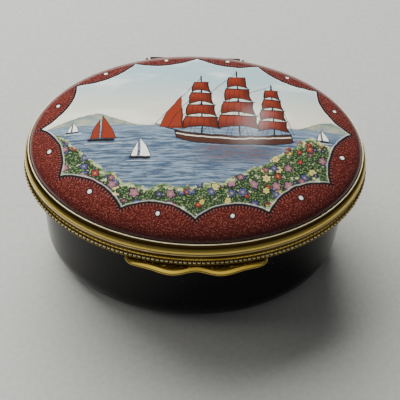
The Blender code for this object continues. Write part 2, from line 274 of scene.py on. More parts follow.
def copy_of_solid(name):
    """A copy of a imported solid, with its triangles welded, ready to be refined."""
    deselect_all()
    solid = frame["nodes"][name]
    solid.select_set(True)
    bpy.context.view_layer.objects.active = solid
    bpy.ops.object.duplicate()
    piece = bpy.context.object
    bpy.ops.object.parent_clear(type="CLEAR_KEEP_TRANSFORM")
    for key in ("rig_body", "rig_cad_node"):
        del piece[key]
    piece.name = name + "_finished"
    bpy.ops.object.mode_set(mode="EDIT")
    bpy.ops.mesh.select_mode(type="VERT")
    bpy.ops.mesh.select_all(action="SELECT")
    bpy.ops.mesh.customdata_custom_splitnormals_clear()
    bpy.ops.mesh.remove_doubles(threshold=0.000001)
    return piece


def fit_to_body(piece, body, slot, *nodes):
    """Let the piece stand for its solids and move with their body."""
    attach(piece, body)
    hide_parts(*nodes)


# Shader arithmetic

def join(tree, value, socket):
    """Feed a shader input with a number, a colour or another node's output."""
    if isinstance(value, Shade):
        tree.links.new(value.socket, socket)
    elif isinstance(value, bpy.types.NodeSocket):
        tree.links.new(value, socket)
    elif socket.type == "RGBA" and len(value) == 3:
        socket.default_value = (*value, 1)
    else:
        socket.default_value = value


def add_node(tree, kind, **settings):
    """Add a node, set beside the ones before it."""
    node = tree.nodes.new(kind)
    count = len(tree.nodes)
    node.location = (200 * (count // 12), -170 * (count % 12))
    node.hide = True
    for key, value in settings.items():
        setattr(node, key, value)
    return node


class Shade:
    """A number that varies over a surface. Sums and products of it add Math nodes."""

    def __init__(self, tree, socket):
        self.tree = tree
        self.socket = socket

    def worked(self, operation, *others, clamp=False):
        """The result of one Math node on this number and others."""
        node = add_node(self.tree, "ShaderNodeMath", operation=operation, use_clamp=clamp)
        for value, socket in zip((self, *others), node.inputs):
            join(self.tree, value, socket)
        return Shade(self.tree, node.outputs[0])

    def __add__(self, other):
        return self.worked("ADD", other)

    def __sub__(self, other):
        return self.worked("SUBTRACT", other)

    def __mul__(self, other):
        return self.worked("MULTIPLY", other)

    def __truediv__(self, other):
        return self.worked("DIVIDE", other)

    __radd__ = __add__
    __rmul__ = __mul__

    def __rsub__(self, other):
        return self.worked("MULTIPLY_ADD", -1.0, other)

    def __abs__(self):
        return self.worked("ABSOLUTE")

    def at_least(self, other):
        """The larger of this number and another."""
        return self.worked("MAXIMUM", other)

    def at_most(self, other):
        """The smaller of this number and another."""
        return self.worked("MINIMUM", other)

    def squared(self):
        """This number times itself."""
        return self.worked("MULTIPLY", self)

    def sine(self):
        """The sine of this number, in radians."""
        return self.worked("SINE")

    def fraction(self):
        """What is left of this number past the whole one below it."""
        return self.worked("FRACT")

    def rising(self, low, high):
        """A mask that goes smoothly from 0 at one value to 1 at a higher one."""
        node = add_node(self.tree, "ShaderNodeMapRange", interpolation_type="SMOOTHSTEP")
        join(self.tree, self, node.inputs["Value"])
        join(self.tree, low, node.inputs["From Min"])
        join(self.tree, high, node.inputs["From Max"])
        return Shade(self.tree, node.outputs["Result"])

    def near(self, middle, reach, blur):
        """A mask that is 1 where this number lies within reach of a middle value."""
        return 1 - abs(self - middle).rising(reach - blur, reach + blur)


def strongest(masks):
    """The largest of several masks at each point."""
    found = None
    for mask in masks:
        found = mask if found is None else found.at_least(mask)
    return found


def vector_node(tree, operation, first, second=None):
    """A Vector Math node on one or two vectors."""
    node = add_node(tree, "ShaderNodeVectorMath", operation=operation)
    join(tree, first, node.inputs[0])
    if second is not None:
        join(tree, second, node.inputs[1])
    return node


def length_of(tree, vector):
    """The length of a vector, as a number."""
    return Shade(tree, vector_node(tree, "LENGTH", vector).outputs["Value"])


def split(tree, vector):
    """The X and Y of a vector, as numbers."""
    node = add_node(tree, "ShaderNodeSeparateXYZ")
    join(tree, vector, node.inputs[0])
    return Shade(tree, node.outputs["X"]), Shade(tree, node.outputs["Y"])


def level_of(tree):
    """The height of a point above the table, in metres."""
    node = add_node(tree, "ShaderNodeSeparateXYZ")
    join(tree, object_place(tree), node.inputs[0])
    return Shade(tree, node.outputs["Z"])


def pack(tree, x, y):
    """A flat vector from its X and Y."""
    node = add_node(tree, "ShaderNodeCombineXYZ")
    join(tree, x, node.inputs["X"])
    join(tree, y, node.inputs["Y"])
    return node.outputs[0]


def object_place(tree):
    """The point on the piece, in its own frame."""
    return add_node(tree, "ShaderNodeTexCoord").outputs["Object"]


def stretched(tree, place, scale):
    """The point with each axis scaled."""
    node = add_node(tree, "ShaderNodeMapping")
    join(tree, place, node.inputs["Vector"])
    node.inputs["Scale"].default_value = scale
    return node.outputs[0]


def noise(tree, place, scale, detail=2.0, roughness=0.5):
    """Soft random variation, as a number round 0.5."""
    node = add_node(tree, "ShaderNodeTexNoise")
    join(tree, place, node.inputs["Vector"])
    node.inputs["Scale"].default_value = scale
    node.inputs["Detail"].default_value = detail
    node.inputs["Roughness"].default_value = roughness
    return Shade(tree, node.outputs["Fac"])


def lay(tree, under, mask, over):
    """Cover one colour with another where a mask is 1."""
    node = add_node(tree, "ShaderNodeMix", data_type="RGBA")
    join(tree, mask, node.inputs[0])
    join(tree, under, node.inputs[6])
    join(tree, over, node.inputs[7])
    return node.outputs[2]


def choose(tree, switch, first, second):
    """The second vector where a switch is 1, else the first."""
    node = add_node(tree, "ShaderNodeMix", data_type="VECTOR")
    join(tree, switch, node.inputs[0])
    join(tree, first, node.inputs[4])
    join(tree, second, node.inputs[5])
    return node.outputs[1]


def new_group(name, inputs, outputs):
    """An empty shader group with named inputs and outputs, and its two end nodes."""
    tree = bpy.data.node_groups.new(name, "ShaderNodeTree")
    for label, kind in inputs:
        tree.interface.new_socket(label, in_out="INPUT", socket_type=kind)
    for label, kind in outputs:
        tree.interface.new_socket(label, in_out="OUTPUT", socket_type=kind)
    start = add_node(tree, "NodeGroupInput")
    end = add_node(tree, "NodeGroupOutput")
    return tree, start, end


def use_group(tree, group, **values):
    """Place a group in a material and feed its inputs by name."""
    node = add_node(tree, "ShaderNodeGroup", node_tree=group)
    for label, value in values.items():
        join(tree, value, node.inputs[label.replace("_", " ").capitalize()])
    return node


def take(tree, node, label):
    """A number that a group puts out."""
    return Shade(tree, node.outputs[label])


def build_once(name, builder):
    """A shader group that every material shares."""
    return bpy.data.node_groups.get(name) or builder(name)


FLOAT = "NodeSocketFloat"
VECTOR = "NodeSocketVector"


def build_polish(name):
    """Fine marks of rubbing and handling: a roughness from 0 to 1 and a height from 0 to 1."""
    tree, start, end = new_group(name, [("Place", VECTOR), ("Size", FLOAT)],
                                 [("Smudge", FLOAT), ("Scratch", FLOAT)])
    scaled = vector_node(tree, "SCALE", start.outputs["Place"])
    join(tree, start.outputs["Size"], scaled.inputs["Scale"])
    place = scaled.outputs[0]
    smudge = noise(tree, place, 3.0, 4.0, 0.6)
    across = noise(tree, stretched(tree, place, (4, 60, 60)), 5.0, 2.0)
    along = noise(tree, stretched(tree, place, (60, 4, 60)), 5.0, 2.0)
    scratch = across.rising(0.62, 0.72).at_least(along.rising(0.62, 0.72))
    join(tree, smudge.rising(0.3, 0.75), end.inputs["Smudge"])
    join(tree, scratch, end.inputs["Scratch"])
    return tree


def build_glaze(name):
    """The surface of fired glaze: a slow ripple, and pinholes and dust as a mask."""
    tree, start, end = new_group(name, [("Place", VECTOR)], [("Ripple", FLOAT), ("Dust", FLOAT)])
    place = start.outputs["Place"]
    ripple = noise(tree, place, 260.0, 2.0) * 0.7 + noise(tree, place, 900.0, 2.0) * 0.3
    dust = noise(tree, place, 2600.0, 1.0).rising(0.74, 0.80)
    join(tree, ripple, end.inputs["Ripple"])
    join(tree, dust, end.inputs["Dust"])
    return tree


def build_stroke(name):
    """A stroke of the pen between two points, as a mask."""
    tree, start, end = new_group(
        name, [("Point", VECTOR), ("From", VECTOR), ("To", VECTOR), ("Width", FLOAT)], [("Mask", FLOAT)])
    away = vector_node(tree, "SUBTRACT", start.outputs["Point"], start.outputs["From"]).outputs[0]
    run = vector_node(tree, "SUBTRACT", start.outputs["To"], start.outputs["From"]).outputs[0]
    covered = Shade(tree, vector_node(tree, "DOT_PRODUCT", away, run).outputs["Value"])
    whole = vector_node(tree, "DOT_PRODUCT", run, run).outputs["Value"]
    share = covered.worked("DIVIDE", whole, clamp=True)
    foot = vector_node(tree, "SCALE", run)
    join(tree, share, foot.inputs["Scale"])
    gap = length_of(tree, vector_node(tree, "SUBTRACT", away, foot.outputs[0]).outputs[0])
    half = Shade(tree, start.outputs["Width"]) * 0.5
    join(tree, 1 - gap.rising(half * 0.4, half * 1.6), end.inputs["Mask"])
    return tree


# A mast's height in drops of one sail, and the share of it that is below the lowest sail
MAST_IN_DROPS = 4.6
LOWEST_SAIL = 0.1


def build_rigged_mast(name):
    """A mast with four square sails: masks of the cloth, of its lines and of its shaded side."""
    tree, start, end = new_group(
        name, [("Point", VECTOR), ("Foot", VECTOR), ("Height", FLOAT), ("Half width", FLOAT)],
        [("Cloth", FLOAT), ("Lines", FLOAT), ("Shadow", FLOAT)])
    height = Shade(tree, start.outputs["Height"])
    spread = Shade(tree, start.outputs["Half width"])
    from_foot = vector_node(tree, "SUBTRACT", start.outputs["Point"], start.outputs["Foot"])
    x, y = split(tree, from_foot.outputs[0])
    rise = y / height
    drop = height / MAST_IN_DROPS
    tiers = (rise - LOWEST_SAIL) * MAST_IN_DROPS
    tier = tiers.worked("FLOOR")
    up = tiers.fraction()
    half = spread * (1.06 - tier * 0.17 - up * 0.13)
    across = x / half + (up * math.pi).sine() * 0.10
    foot_curve = 0.24 - across.squared() * 0.20
    side_gap = (1 - abs(across)) * half
    low_gap = (up - foot_curve) * drop
    high_gap = (0.95 - up) * drop
    inside = side_gap.at_most(low_gap).at_most(high_gap)
    on_mast = rise.rising(0.09, 0.11) * (1 - rise.rising(0.955, 0.965))
    cloth = inside.rising(-0.05, 0.05) * on_mast
    outline = inside.near(0.0, 0.12, 0.05) * on_mast
    yard = ((up - 0.97) * drop).near(0.0, 0.10, 0.05)
    yard = yard * (1 - abs(x / half).rising(1.10, 1.16)) * on_mast
    mast = x.near(0.0, 0.14, 0.05) * rise.rising(-0.02, 0.0) * (1 - rise.rising(1.08, 1.09))
    seams = (across * 2.5).fraction().near(0.5, 0.06, 0.04) * cloth * 0.6
    lines = outline.at_least(yard).at_least(mast * (1 - cloth)).at_least(seams)
    shadow = across.rising(-0.2, 1.1).at_least((1 - up.rising(0.25, 0.75)) * 0.7)
    join(tree, cloth, end.inputs["Cloth"])
    join(tree, lines, end.inputs["Lines"])
    join(tree, shadow, end.inputs["Shadow"])
    return tree


def build_sail(name):
    """A three-cornered sail over its foot point: masks of its cloth and its outline."""
    tree, start, end = new_group(
        name, [("Point", VECTOR), ("Foot", VECTOR), ("Height", FLOAT), ("Breadth", FLOAT)],
        [("Cloth", FLOAT), ("Lines", FLOAT)])
    height = Shade(tree, start.outputs["Height"])
    breadth = Shade(tree, start.outputs["Breadth"])
    from_foot = vector_node(tree, "SUBTRACT", start.outputs["Point"], start.outputs["Foot"])
    x, y = split(tree, from_foot.outputs[0])
    rise = y / height
    across = x / breadth
    edge = 1 - rise + (rise * math.pi).sine() * 0.12
    reach = (edge - across) * abs(breadth)
    inside = reach.at_most(across * abs(breadth)).at_most(y).at_most(height - y)
    join(tree, inside.rising(-0.04, 0.04), end.inputs["Cloth"])
    join(tree, inside.near(0.0, 0.06, 0.05), end.inputs["Lines"])
    return tree


def build_blossoms(name):
    """Flowers scattered one to a cell: masks of petals, middles and outlines, and a random pick."""
    tree, start, end = new_group(
        name, [("Point", VECTOR), ("Scale", FLOAT), ("Amount", FLOAT), ("Petals", FLOAT)],
        [("Petal", FLOAT), ("Middle", FLOAT), ("Outline", FLOAT), ("Pick", FLOAT)])
    cells = add_node(tree, "ShaderNodeTexVoronoi", voronoi_dimensions="2D")
    join(tree, start.outputs["Point"], cells.inputs["Vector"])
    join(tree, start.outputs["Scale"], cells.inputs["Scale"])
    cells.inputs["Randomness"].default_value = 0.75
    away = vector_node(tree, "SUBTRACT", start.outputs["Point"], cells.outputs["Position"]).outputs[0]
    x, y = split(tree, away)
    pick, other = split(tree, cells.outputs["Color"])
    turn = y.worked("ARCTAN2", x) + other * math.tau
    lobes = (turn * start.outputs["Petals"]).sine() * 0.16 + 0.84
    size = (other * 0.25 + 0.24) / start.outputs["Scale"]
    gap = length_of(tree, away) / (lobes * size)
    there = Shade(tree, start.outputs["Amount"]).worked("GREATER_THAN", pick)
    join(tree, (1 - gap.rising(0.90, 1.02)) * there, end.inputs["Petal"])
    join(tree, (1 - gap.rising(0.22, 0.34)) * there, end.inputs["Middle"])
    join(tree, gap.near(1.04, 0.14, 0.08) * there, end.inputs["Outline"])
    join(tree, other, end.inputs["Pick"])
    return tree


# Finishes

def new_material(name):
    """A material with its tree, its Principled shader and its place on the piece."""
    material = bpy.data.materials.new(name)
    material.use_nodes = True
    tree = material.node_tree
    return material, tree, tree.nodes["Principled BSDF"], object_place(tree)


def bump(tree, shader, height, distance, strength=1.0):
    """Raise the surface by a height from 0 to 1 times a distance."""
    node = add_node(tree, "ShaderNodeBump")
    node.inputs["Strength"].default_value = strength
    node.inputs["Distance"].default_value = distance
    join(tree, height, node.inputs["Height"])
    join(tree, node.outputs[0], shader.inputs["Normal"])


POLISH_SCALE = 60.0
POLISH_DEPTH = 0.000002
BAND_BLUR = 0.3


def bands(level, places):
    """A mask of level bands, given as (level, reach) pairs."""
    return strongest(level.near(middle, reach, reach * BAND_BLUR) for middle, reach in places)


def gilt_material(name, recesses=(), dullness=0.0, edges=()):
    """Polished gilding with painted shade in recesses and a painted highlight on edges, both given as (level,
    reach) pairs.
    """
    colours = bpy.context.scene.box_colours
    material, tree, shader, place = new_material(name)
    marks = use_group(tree, build_once("polish", build_polish), place=place, size=POLISH_SCALE)
    smudge = take(tree, marks, "Smudge")
    level = level_of(tree)
    # Random smudges and the given dullness darken the gilding; the recess bands laid over them are painted
    # shade
    shade = smudge * 0.16 + dullness
    if recesses:
        shade = shade.at_least(bands(level, recesses) * 0.97)
    colour = lay(tree, colours.gilt, shade, colours.tarnish_and_shade)
    metal = 1.0
    if edges:
        # The edge bands are a painted highlight, made nearly non-metallic so that the lamps light them
        highlighted = bands(level, edges)
        colour = lay(tree, colour, highlighted, colours.painted_highlight)
        metal = 1 - highlighted * 0.8
    join(tree, colour, shader.inputs["Base Color"])
    join(tree, metal, shader.inputs["Metallic"])
    join(tree, smudge * 0.06 + shade * 0.14 + 0.18, shader.inputs["Roughness"])
    bump(tree, shader, take(tree, marks, "Scratch") * 0.4 + smudge, POLISH_DEPTH * 0.75)
    return material


# The thumbpiece's plan in millimetres, and the share of its wave that is lost at its two ends
THUMB_REACH = 1.4
THUMB_WAVE = 0.62
THUMB_WAVE_LENGTH = 9.3
THUMB_HALF_WIDTH = 12.6
THUMB_ROLL = 0.45
THUMB_SOLDER = 0.25
THUMB_FADE = 0.9


def thumbpiece_material():
    """Gilding with painted highlights on the rolled front and the lower edge, a painted dark line of shade
    between them, and painted shade and solder towards the root.
    """
    colours = bpy.context.scene.box_colours
    material, tree, shader, place = new_material("gilt_of_thumbpiece")
    marks = use_group(tree, build_once("polish", build_polish), place=place, size=POLISH_SCALE)
    smudge = take(tree, marks, "Smudge")
    x, y = split(tree, stretched(tree, place, (1 / MM, 1 / MM, 1 / MM)))
    oval = length_of(tree, pack(tree, x * (MM / HALF_LENGTH), y * (MM / HALF_DEPTH)))
    out = (oval - 1) * (HALF_DEPTH / MM)
    wave = (x * (math.tau / THUMB_WAVE_LENGTH)).worked("COSINE") * THUMB_WAVE
    reach = THUMB_REACH - wave * (1 - abs(x) * (THUMB_FADE / THUMB_HALF_WIDTH))
    from_front = reach - out
    facing = add_node(tree, "ShaderNodeSeparateXYZ")
    join(tree, add_node(tree, "ShaderNodeTexCoord").outputs["Normal"], facing.inputs[0])
    tilt = Shade(tree, facing.outputs["Z"])
    # Painted highlight on the rolled front
    roll = (1 - from_front.rising(THUMB_ROLL * 1.25, THUMB_ROLL * 1.7)) * tilt.rising(0.55, 0.70)
    # A fainter painted highlight on the lower edge, and a painted dark line of shade above it
    edge = tilt.near(0.12, 0.16, 0.06)
    line = tilt.near(0.40, 0.17, 0.05)
    # Painted shade towards the root
    root = from_front.rising(THUMB_ROLL * 1.6, THUMB_ROLL * 3.0)
    colour = lay(tree, colours.gilt, root * 0.55 + smudge * 0.1, colours.tarnish_and_shade)
    colour = lay(tree, colour, line, colours.ink_and_shadow)
    solder = noise(tree, place, 2400.0, 1.0).rising(0.60, 0.66)
    solder = solder * out.near(THUMB_SOLDER, THUMB_SOLDER, THUMB_SOLDER / 2)
    # Painted highlights, with the solder laid in the same colour
    bright = roll.at_least(edge * 0.5).at_least(solder * 0.7)
    colour = lay(tree, colour, bright, colours.shine_and_solder)
    join(tree, colour, shader.inputs["Base Color"])
    join(tree, 1 - bright * 0.85, shader.inputs["Metallic"])
    join(tree, smudge * 0.06 + root * 0.1 + 0.16, shader.inputs["Roughness"])
    bump(tree, shader, smudge + solder, POLISH_DEPTH)
    return material


ENAMEL_IOR = 1.5
PLAIN_GLEAM = 0.5


def enamel_material(name, colour, mottle, roughness, gleam=PLAIN_GLEAM):
    """Plain fired enamel with a faint mottle and a rippled gloss."""
    sizes = bpy.context.scene.box_sizes
    colours = bpy.context.scene.box_colours
    material, tree, shader, place = new_material(name)
    glaze = use_group(tree, build_once("glaze", build_glaze), place=place)
    patches = noise(tree, place, 140.0, 3.0)
    tinted = lay(tree, colour, patches.rising(0.35, 0.7), mottle)
    dust = take(tree, glaze, "Dust")
    join(tree, lay(tree, tinted, dust * 0.25, colours.dust), shader.inputs["Base Color"])
    join(tree, dust * 0.2 + patches * 0.04 + roughness, shader.inputs["Roughness"])
    shader.inputs["IOR"].default_value = ENAMEL_IOR
    shader.inputs["Specular IOR Level"].default_value = gleam
    bump(tree, shader, take(tree, glaze, "Ripple"), sizes.glaze_ripple)
    return material


# The painted lid, in millimetres

CUSP_HALF_LENGTH = 28.45
CUSP_HALF_DEPTH = 19.5
CUSP_SHIFT = 0.4
CUSP_ANGLES = (2.6, 36.4, 65.3, 89.7, 114.6, 142.9, 177.7, 211.8, 242.4, 269, 295.6, 325.7)
PEARL_SETOUT = 2.0
PEARL_RING = 0.24
TICK_PITCH = 0.52
TICK_LENGTH = 0.72
EDGE_LINE = 0.34
INK_BLUR = 0.06
HORIZON = 0.6
SHIP_MIDDLE = 7.0
SHIP_WATERLINE = -3.6
SHIP_HALF_LENGTH = 10.5
DECK_RISE = 1.9
DECK_LEVEL = SHIP_WATERLINE + DECK_RISE
BOWSPRIT = 4.2
BOWSPRIT_RISE = 1.9
BULWARK = 0.7
LINE_WIDTH = 0.13
SHROUD_WIDTH = 0.09
SPAR_WIDTH = 0.24
WAVER_SCALE = 0.5
WAVER_REACH = 0.5
PAINT_IOR = 1.52
PAINT_GLEAM = 0.28
PAINT_ROUGHNESS = 0.13

# Heights over the lip of the border's painted shade, its painted shadow line and its thin line of painted
# sheen, in metres
EDGE_SHADE_LOW = 0.0002
EDGE_SHADE_HIGH = 0.0018
SHEEN_RISE = 0.0004
SHEEN_REACH = 0.0002

# Each hill beyond the water and each bank in front: its middle, its reach, its slope and its height
HILLS = ((-19.0, 5.0, 5.0, 3.4), (25.0, 4.0, 4.5, 3.0))
BANKS = ((21.0, 5.0, 17.0, 16.5), (-25.0, 4.0, 12.0, 16.0))

# Each mast of the ship: its place from her middle, its height and half the width of its lowest sail
MASTS = ((-6.2, 14.2, 3.1), (0.6, 16.0, 3.5), (6.9, 12.6, 2.6))

# Each small boat: its place, its height and the colour of its sails
BOATS = (((-17.4, -2.4), 5.4, "sail"), ((-10.4, -6.6), 4.2, "cream"),
         ((-22.6, -0.6), 2.4, "cream"), ((22.6, -1.6), 2.6, "cream"))

# Each kind of flower: how far its pattern is shifted, flowers to a millimetre, petals, share of the
# banks that it takes, and its dark and light colour
FLOWERS = (
    ((6.0, 9.0), 0.50, 4.0, 0.20, (0.26, 0.018, 0.018), (0.20, 0.04, 0.035)),
    ((1.5, 7.5), 0.46, 6.0, 0.28, (0.46, 0.36, 0.06), (0.52, 0.48, 0.20)),
    ((9.0, 4.0), 0.54, 5.0, 0.42, (0.022, 0.026, 0.085), (0.07, 0.075, 0.19)),
    ((3.0, 1.0), 0.48, 5.0, 0.46, (0.13, 0.045, 0.075), (0.27, 0.12, 0.17)),
)


def cusp(angle):
    """A point of the border, between two scallops."""
    turn = math.radians(angle)
    return Vector((CUSP_HALF_LENGTH * math.cos(turn), CUSP_HALF_DEPTH * math.sin(turn) + CUSP_SHIFT, 0))


def scallops(depth):
    """The middle, the radius and the pearl of each scallop's circle."""
    found = []
    for number, angle in enumerate(CUSP_ANGLES):
        first = cusp(angle)
        second = cusp(CUSP_ANGLES[(number + 1) % len(CUSP_ANGLES)])
        chord = second - first
        outward_way = Vector((chord.y, -chord.x, 0)).normalized()
        radius = (chord.length_squared / 4 + depth * depth) / (2 * depth)
        middle = (first + second) / 2
        found.append((middle + outward_way * (radius - depth), radius,
                      middle + outward_way * (PEARL_SETOUT - depth)))
    return found


def border_masks(tree, point, depth):
    """How far a point is inside the border, in mm, with its scallop's middle and its nearest pearl."""
    inside = None
    for middle, radius, pearl in scallops(depth):
        reach = radius - Shade(tree, vector_node(tree, "DISTANCE", point, middle).outputs["Value"])
        if inside is None:
            inside, centre, dot = reach, pack(tree, middle.x, middle.y), pack(tree, pearl.x, pearl.y)
            continue
        nearer = reach.worked("GREATER_THAN", inside)
        centre = choose(tree, nearer, centre, middle)
        dot = choose(tree, nearer, dot, pearl)
        inside = inside.at_least(reach)
    return inside, centre, dot


def paint_border(tree, point, place, picture, depth, pearl_radius):
    """Lay the scalloped border over the picture: specks, corded edge, pale line and pearls, with painted
    shade and a painted shadow line by the lip and a painted sheen at the sides.
    """
    colours = bpy.context.scene.box_colours
    inside, centre, dot = border_masks(tree, point, depth)
    coarse = noise(tree, place, 4200.0, 1.0)
    fine = noise(tree, place, 7600.0, 1.0)
    ground = lay(tree, colours.border, coarse.rising(0.50, 0.68), colours.border_light)
    ground = lay(tree, ground, (1 - fine.rising(0.34, 0.47)) * 0.8, colours.border_dark)
    low = level_of(tree)
    sideways, _ = split(tree, point)
    # Painted shade: the border darkens towards the lip
    shade_by_lip = 1 - low.rising(LIP_LEVEL + EDGE_SHADE_LOW, LIP_LEVEL + EDGE_SHADE_HIGH)
    ground = lay(tree, ground, shade_by_lip * 0.6, colours.border_dark)
    # Painted sheen: a thin light line along the dome's edge, at the sides only
    at_sides = abs(sideways).rising(20.0, 26.0)
    sheen = low.near(LIP_LEVEL + SHEEN_RISE, SHEEN_REACH, SHEEN_REACH / 2)
    ground = lay(tree, ground, sheen * at_sides * 0.4, colours.border_sheen)
    # Painted shadow of the gap between the dome and the lip, as a dark line
    gap_shadow = 1 - low.rising(LIP_LEVEL - EDGE_SHADE_LOW / 2, LIP_LEVEL + EDGE_SHADE_LOW)
    ground = lay(tree, ground, gap_shadow, colours.ink_and_shadow)
    x, y = split(tree, vector_node(tree, "SUBTRACT", point, centre).outputs[0])
    radius = scallops(depth)[0][1]
    ticks = (y.worked("ARCTAN2", x) * (radius / TICK_PITCH)).fraction()
    tick = ticks.near(0.5, 0.21, 0.12) * inside.rising(0.0, 0.05)
    tick = tick * (1 - inside.rising(TICK_LENGTH - 0.1, TICK_LENGTH + 0.1))
    line = inside.near(0.06, EDGE_LINE / 2, 0.07)
    gleam = (1 - ticks.near(0.5, 0.34, 0.1)) * inside.near(0.45, 0.17, 0.1)
    ground = lay(tree, ground, gleam * 0.75, colours.border_light)
    pale = inside.near(-0.26, 0.11, 0.08)
    colour = lay(tree, picture, pale * 0.35, colours.cream)
    colour = lay(tree, colour, inside.rising(-0.03, 0.08), ground)
    colour = lay(tree, colour, tick.at_least(line), colours.ink_and_shadow)
    gap = Shade(tree, vector_node(tree, "DISTANCE", point, dot).outputs["Value"])
    for radius, paint in ((pearl_radius + PEARL_RING, colours.ink_and_shadow), (pearl_radius, colours.cream)):
        colour = lay(tree, colour, 1 - gap.rising(radius - INK_BLUR, radius + INK_BLUR), paint)
    return colour


def humps(x, places):
    """A height along the picture that rises over each of several places."""
    return sum(x.near(middle, reach, slope) * height for middle, reach, slope, height in places)


def paint_sky(tree, x, y):
    """Sky that pales down to the horizon, with soft cloud."""
    colours = bpy.context.scene.box_colours
    colour = lay(tree, colours.haze, y.rising(HORIZON, 15.0), colours.sky)
    cloud = noise(tree, pack(tree, x * 0.07, y * 0.20), 1.0, 4.0, 0.55)
    return lay(tree, colour, cloud.rising(0.48, 0.70) * 0.55, colours.cloud)


def paint_far_shore(tree, x, y, sky):
    """Low hills to the left and the right of the open water."""
    colours = bpy.context.scene.box_colours
    ridge = noise(tree, pack(tree, x * 0.16, 3.0), 1.0, 4.0, 0.55)
    rise = humps(x, HILLS)
    top = rise * (ridge * 0.9 + 0.45) + HORIZON - 0.25
    hill = (top - y).rising(-0.05, 0.10)
    tint = noise(tree, pack(tree, x * 0.5, y * 0.9), 1.0, 3.0)
    land = lay(tree, colours.hill, tint.rising(0.4, 0.65), colours.hill_light)
    land = lay(tree, land, (top - y).rising(0.6, 2.2) * 0.5, colours.hill_haze)
    colour = lay(tree, sky, hill, land)
    crest = (top - y).near(0.0, 0.07, 0.06) * rise.rising(0.1, 0.5)
    return lay(tree, colour, crest * 0.8, colours.ink_and_shadow)


def paint_sea(tree, x, y, ground):
    """Water in level streaks, lighter far out, with the ship's colours broken on it."""
    colours = bpy.context.scene.box_colours
    depth = HORIZON - y
    streak = noise(tree, pack(tree, x * 0.22, y * 2.4), 1.0, 4.0, 0.6)
    fine = noise(tree, pack(tree, x * 0.7, y * 6.0), 1.0, 2.0)
    water = lay(tree, colours.sea_light, streak.rising(0.36, 0.60), colours.sea)
    water = lay(tree, water, fine.rising(0.58, 0.68) * 0.7, colours.sea_shade)
    water = lay(tree, water, (1 - depth.rising(0.0, 3.0)) * 0.45, colours.sea_light)
    below = SHIP_WATERLINE - y
    image = (x - SHIP_MIDDLE).near(0.0, 7.0, 3.5) * below.rising(0.0, 0.5) * (1 - below.rising(2.0, 6.0))
    water = lay(tree, water, image * (1 - streak.rising(0.44, 0.58)) * 0.75, colours.sail_shade)
    colour = lay(tree, ground, depth.rising(-0.05, 0.05), water)
    return lay(tree, colour, depth.near(0.0, 0.05, 0.05) * 0.6, colours.ink_and_shadow)


def aboard(along, up):
    """A point of the ship, from her middle at the level of her deck."""
    return (SHIP_MIDDLE + along, DECK_LEVEL + up, 0)


def rigging_lines():
    """The two ends and the width of each line of the ship's rigging."""
    bow = -SHIP_HALF_LENGTH
    fore_mast, fore_height, _ = MASTS[0]
    last_mast, last_height, _ = MASTS[-1]
    yield aboard(bow + 0.6, BULWARK), aboard(bow - BOWSPRIT, BULWARK + BOWSPRIT_RISE), SPAR_WIDTH
    for share in (0.98, 0.74, 0.52):
        tack = aboard(bow - BOWSPRIT * share, BULWARK + BOWSPRIT_RISE * share)
        yield tack, aboard(fore_mast, fore_height * (share + 0.05)), LINE_WIDTH
    for (fore, height, _), (aft, aft_height, _) in zip(MASTS, MASTS[1:]):
        yield aboard(fore, 0.5), aboard(aft, aft_height * 0.72), LINE_WIDTH
        yield aboard(fore, height * 0.62), aboard(aft, aft_height * 1.04), LINE_WIDTH
    yield aboard(last_mast, last_height * 1.02), aboard(SHIP_HALF_LENGTH, 0.9), LINE_WIDTH
    yield aboard(last_mast, last_height * 0.62), aboard(SHIP_HALF_LENGTH - 0.6, 0.9), LINE_WIDTH
    for foot, height, _ in MASTS:
        for side in (-2.4, -1.5, 1.5, 2.4):
            yield aboard(foot + side, 0.1), aboard(foot, height * 0.58), SHROUD_WIDTH


def pen_line(tree, point, start, finish, width):
    """A mask of one stroke of the pen, from one point to another."""
    mark = use_group(tree, build_once("stroke", build_stroke), point=point, width=width)
    mark.inputs["From"].default_value = start
    mark.inputs["To"].default_value = finish
    return take(tree, mark, "Mask")


def paint_ship(tree, point, x, y, under):
    """A square-rigged ship under tanned sails, with her stays and shrouds."""
    colours = bpy.context.scene.box_colours
    along = (x - SHIP_MIDDLE) / SHIP_HALF_LENGTH
    sheer = along.squared() * 0.9 + DECK_LEVEL
    ends = (1 - abs(along + (y - SHIP_WATERLINE) * 0.02)) * SHIP_HALF_LENGTH
    bilge = along.squared().squared() * 1.1 + SHIP_WATERLINE
    hull = (sheer - y).at_most(y - bilge).at_most(ends)
    lines = hull.near(0.0, 0.11, 0.06)
    rigging = strongest(pen_line(tree, point, *line) for line in rigging_lines())
    colour = lay(tree, under, rigging * 0.9, colours.ink_and_shadow)
    mast_group = build_once("rigged_mast", build_rigged_mast)
    weave = noise(tree, pack(tree, x * 1.5, y * 1.1), 1.0, 3.0)
    for foot, height, spread in MASTS:
        rig = use_group(tree, mast_group, point=point, height=height, half_width=spread)
        rig.inputs["Foot"].default_value = aboard(foot, 0)
        cloth = lay(tree, colours.sail, take(tree, rig, "Shadow") * (weave * 0.8 + 0.5), colours.sail_shade)
        colour = lay(tree, colour, take(tree, rig, "Cloth"), cloth)
        lines = lines.at_least(take(tree, rig, "Lines"))
    sail_group = build_once("sail", build_sail)
    for share in (0.95, 0.62):
        jib = use_group(tree, sail_group, point=point, height=8.2 * share, breadth=-BOWSPRIT * share)
        jib.inputs["Foot"].default_value = aboard(-9.4 - share * 0.5, 0.9 + share)
        colour = lay(tree, colour, take(tree, jib, "Cloth"), colours.sail)
        lines = lines.at_least(take(tree, jib, "Lines"))
    seams = ((y - sheer) * 1.6).fraction().near(0.5, 0.10, 0.06) * 0.5
    wood = lay(tree, colours.planks, seams, colours.ink_and_shadow)
    wood = lay(tree, wood, (sheer - y).near(0.62, 0.13, 0.06), colours.haze)
    colour = lay(tree, colour, hull.rising(-0.03, 0.05), wood)
    return lay(tree, colour, lines, colours.ink_and_shadow)


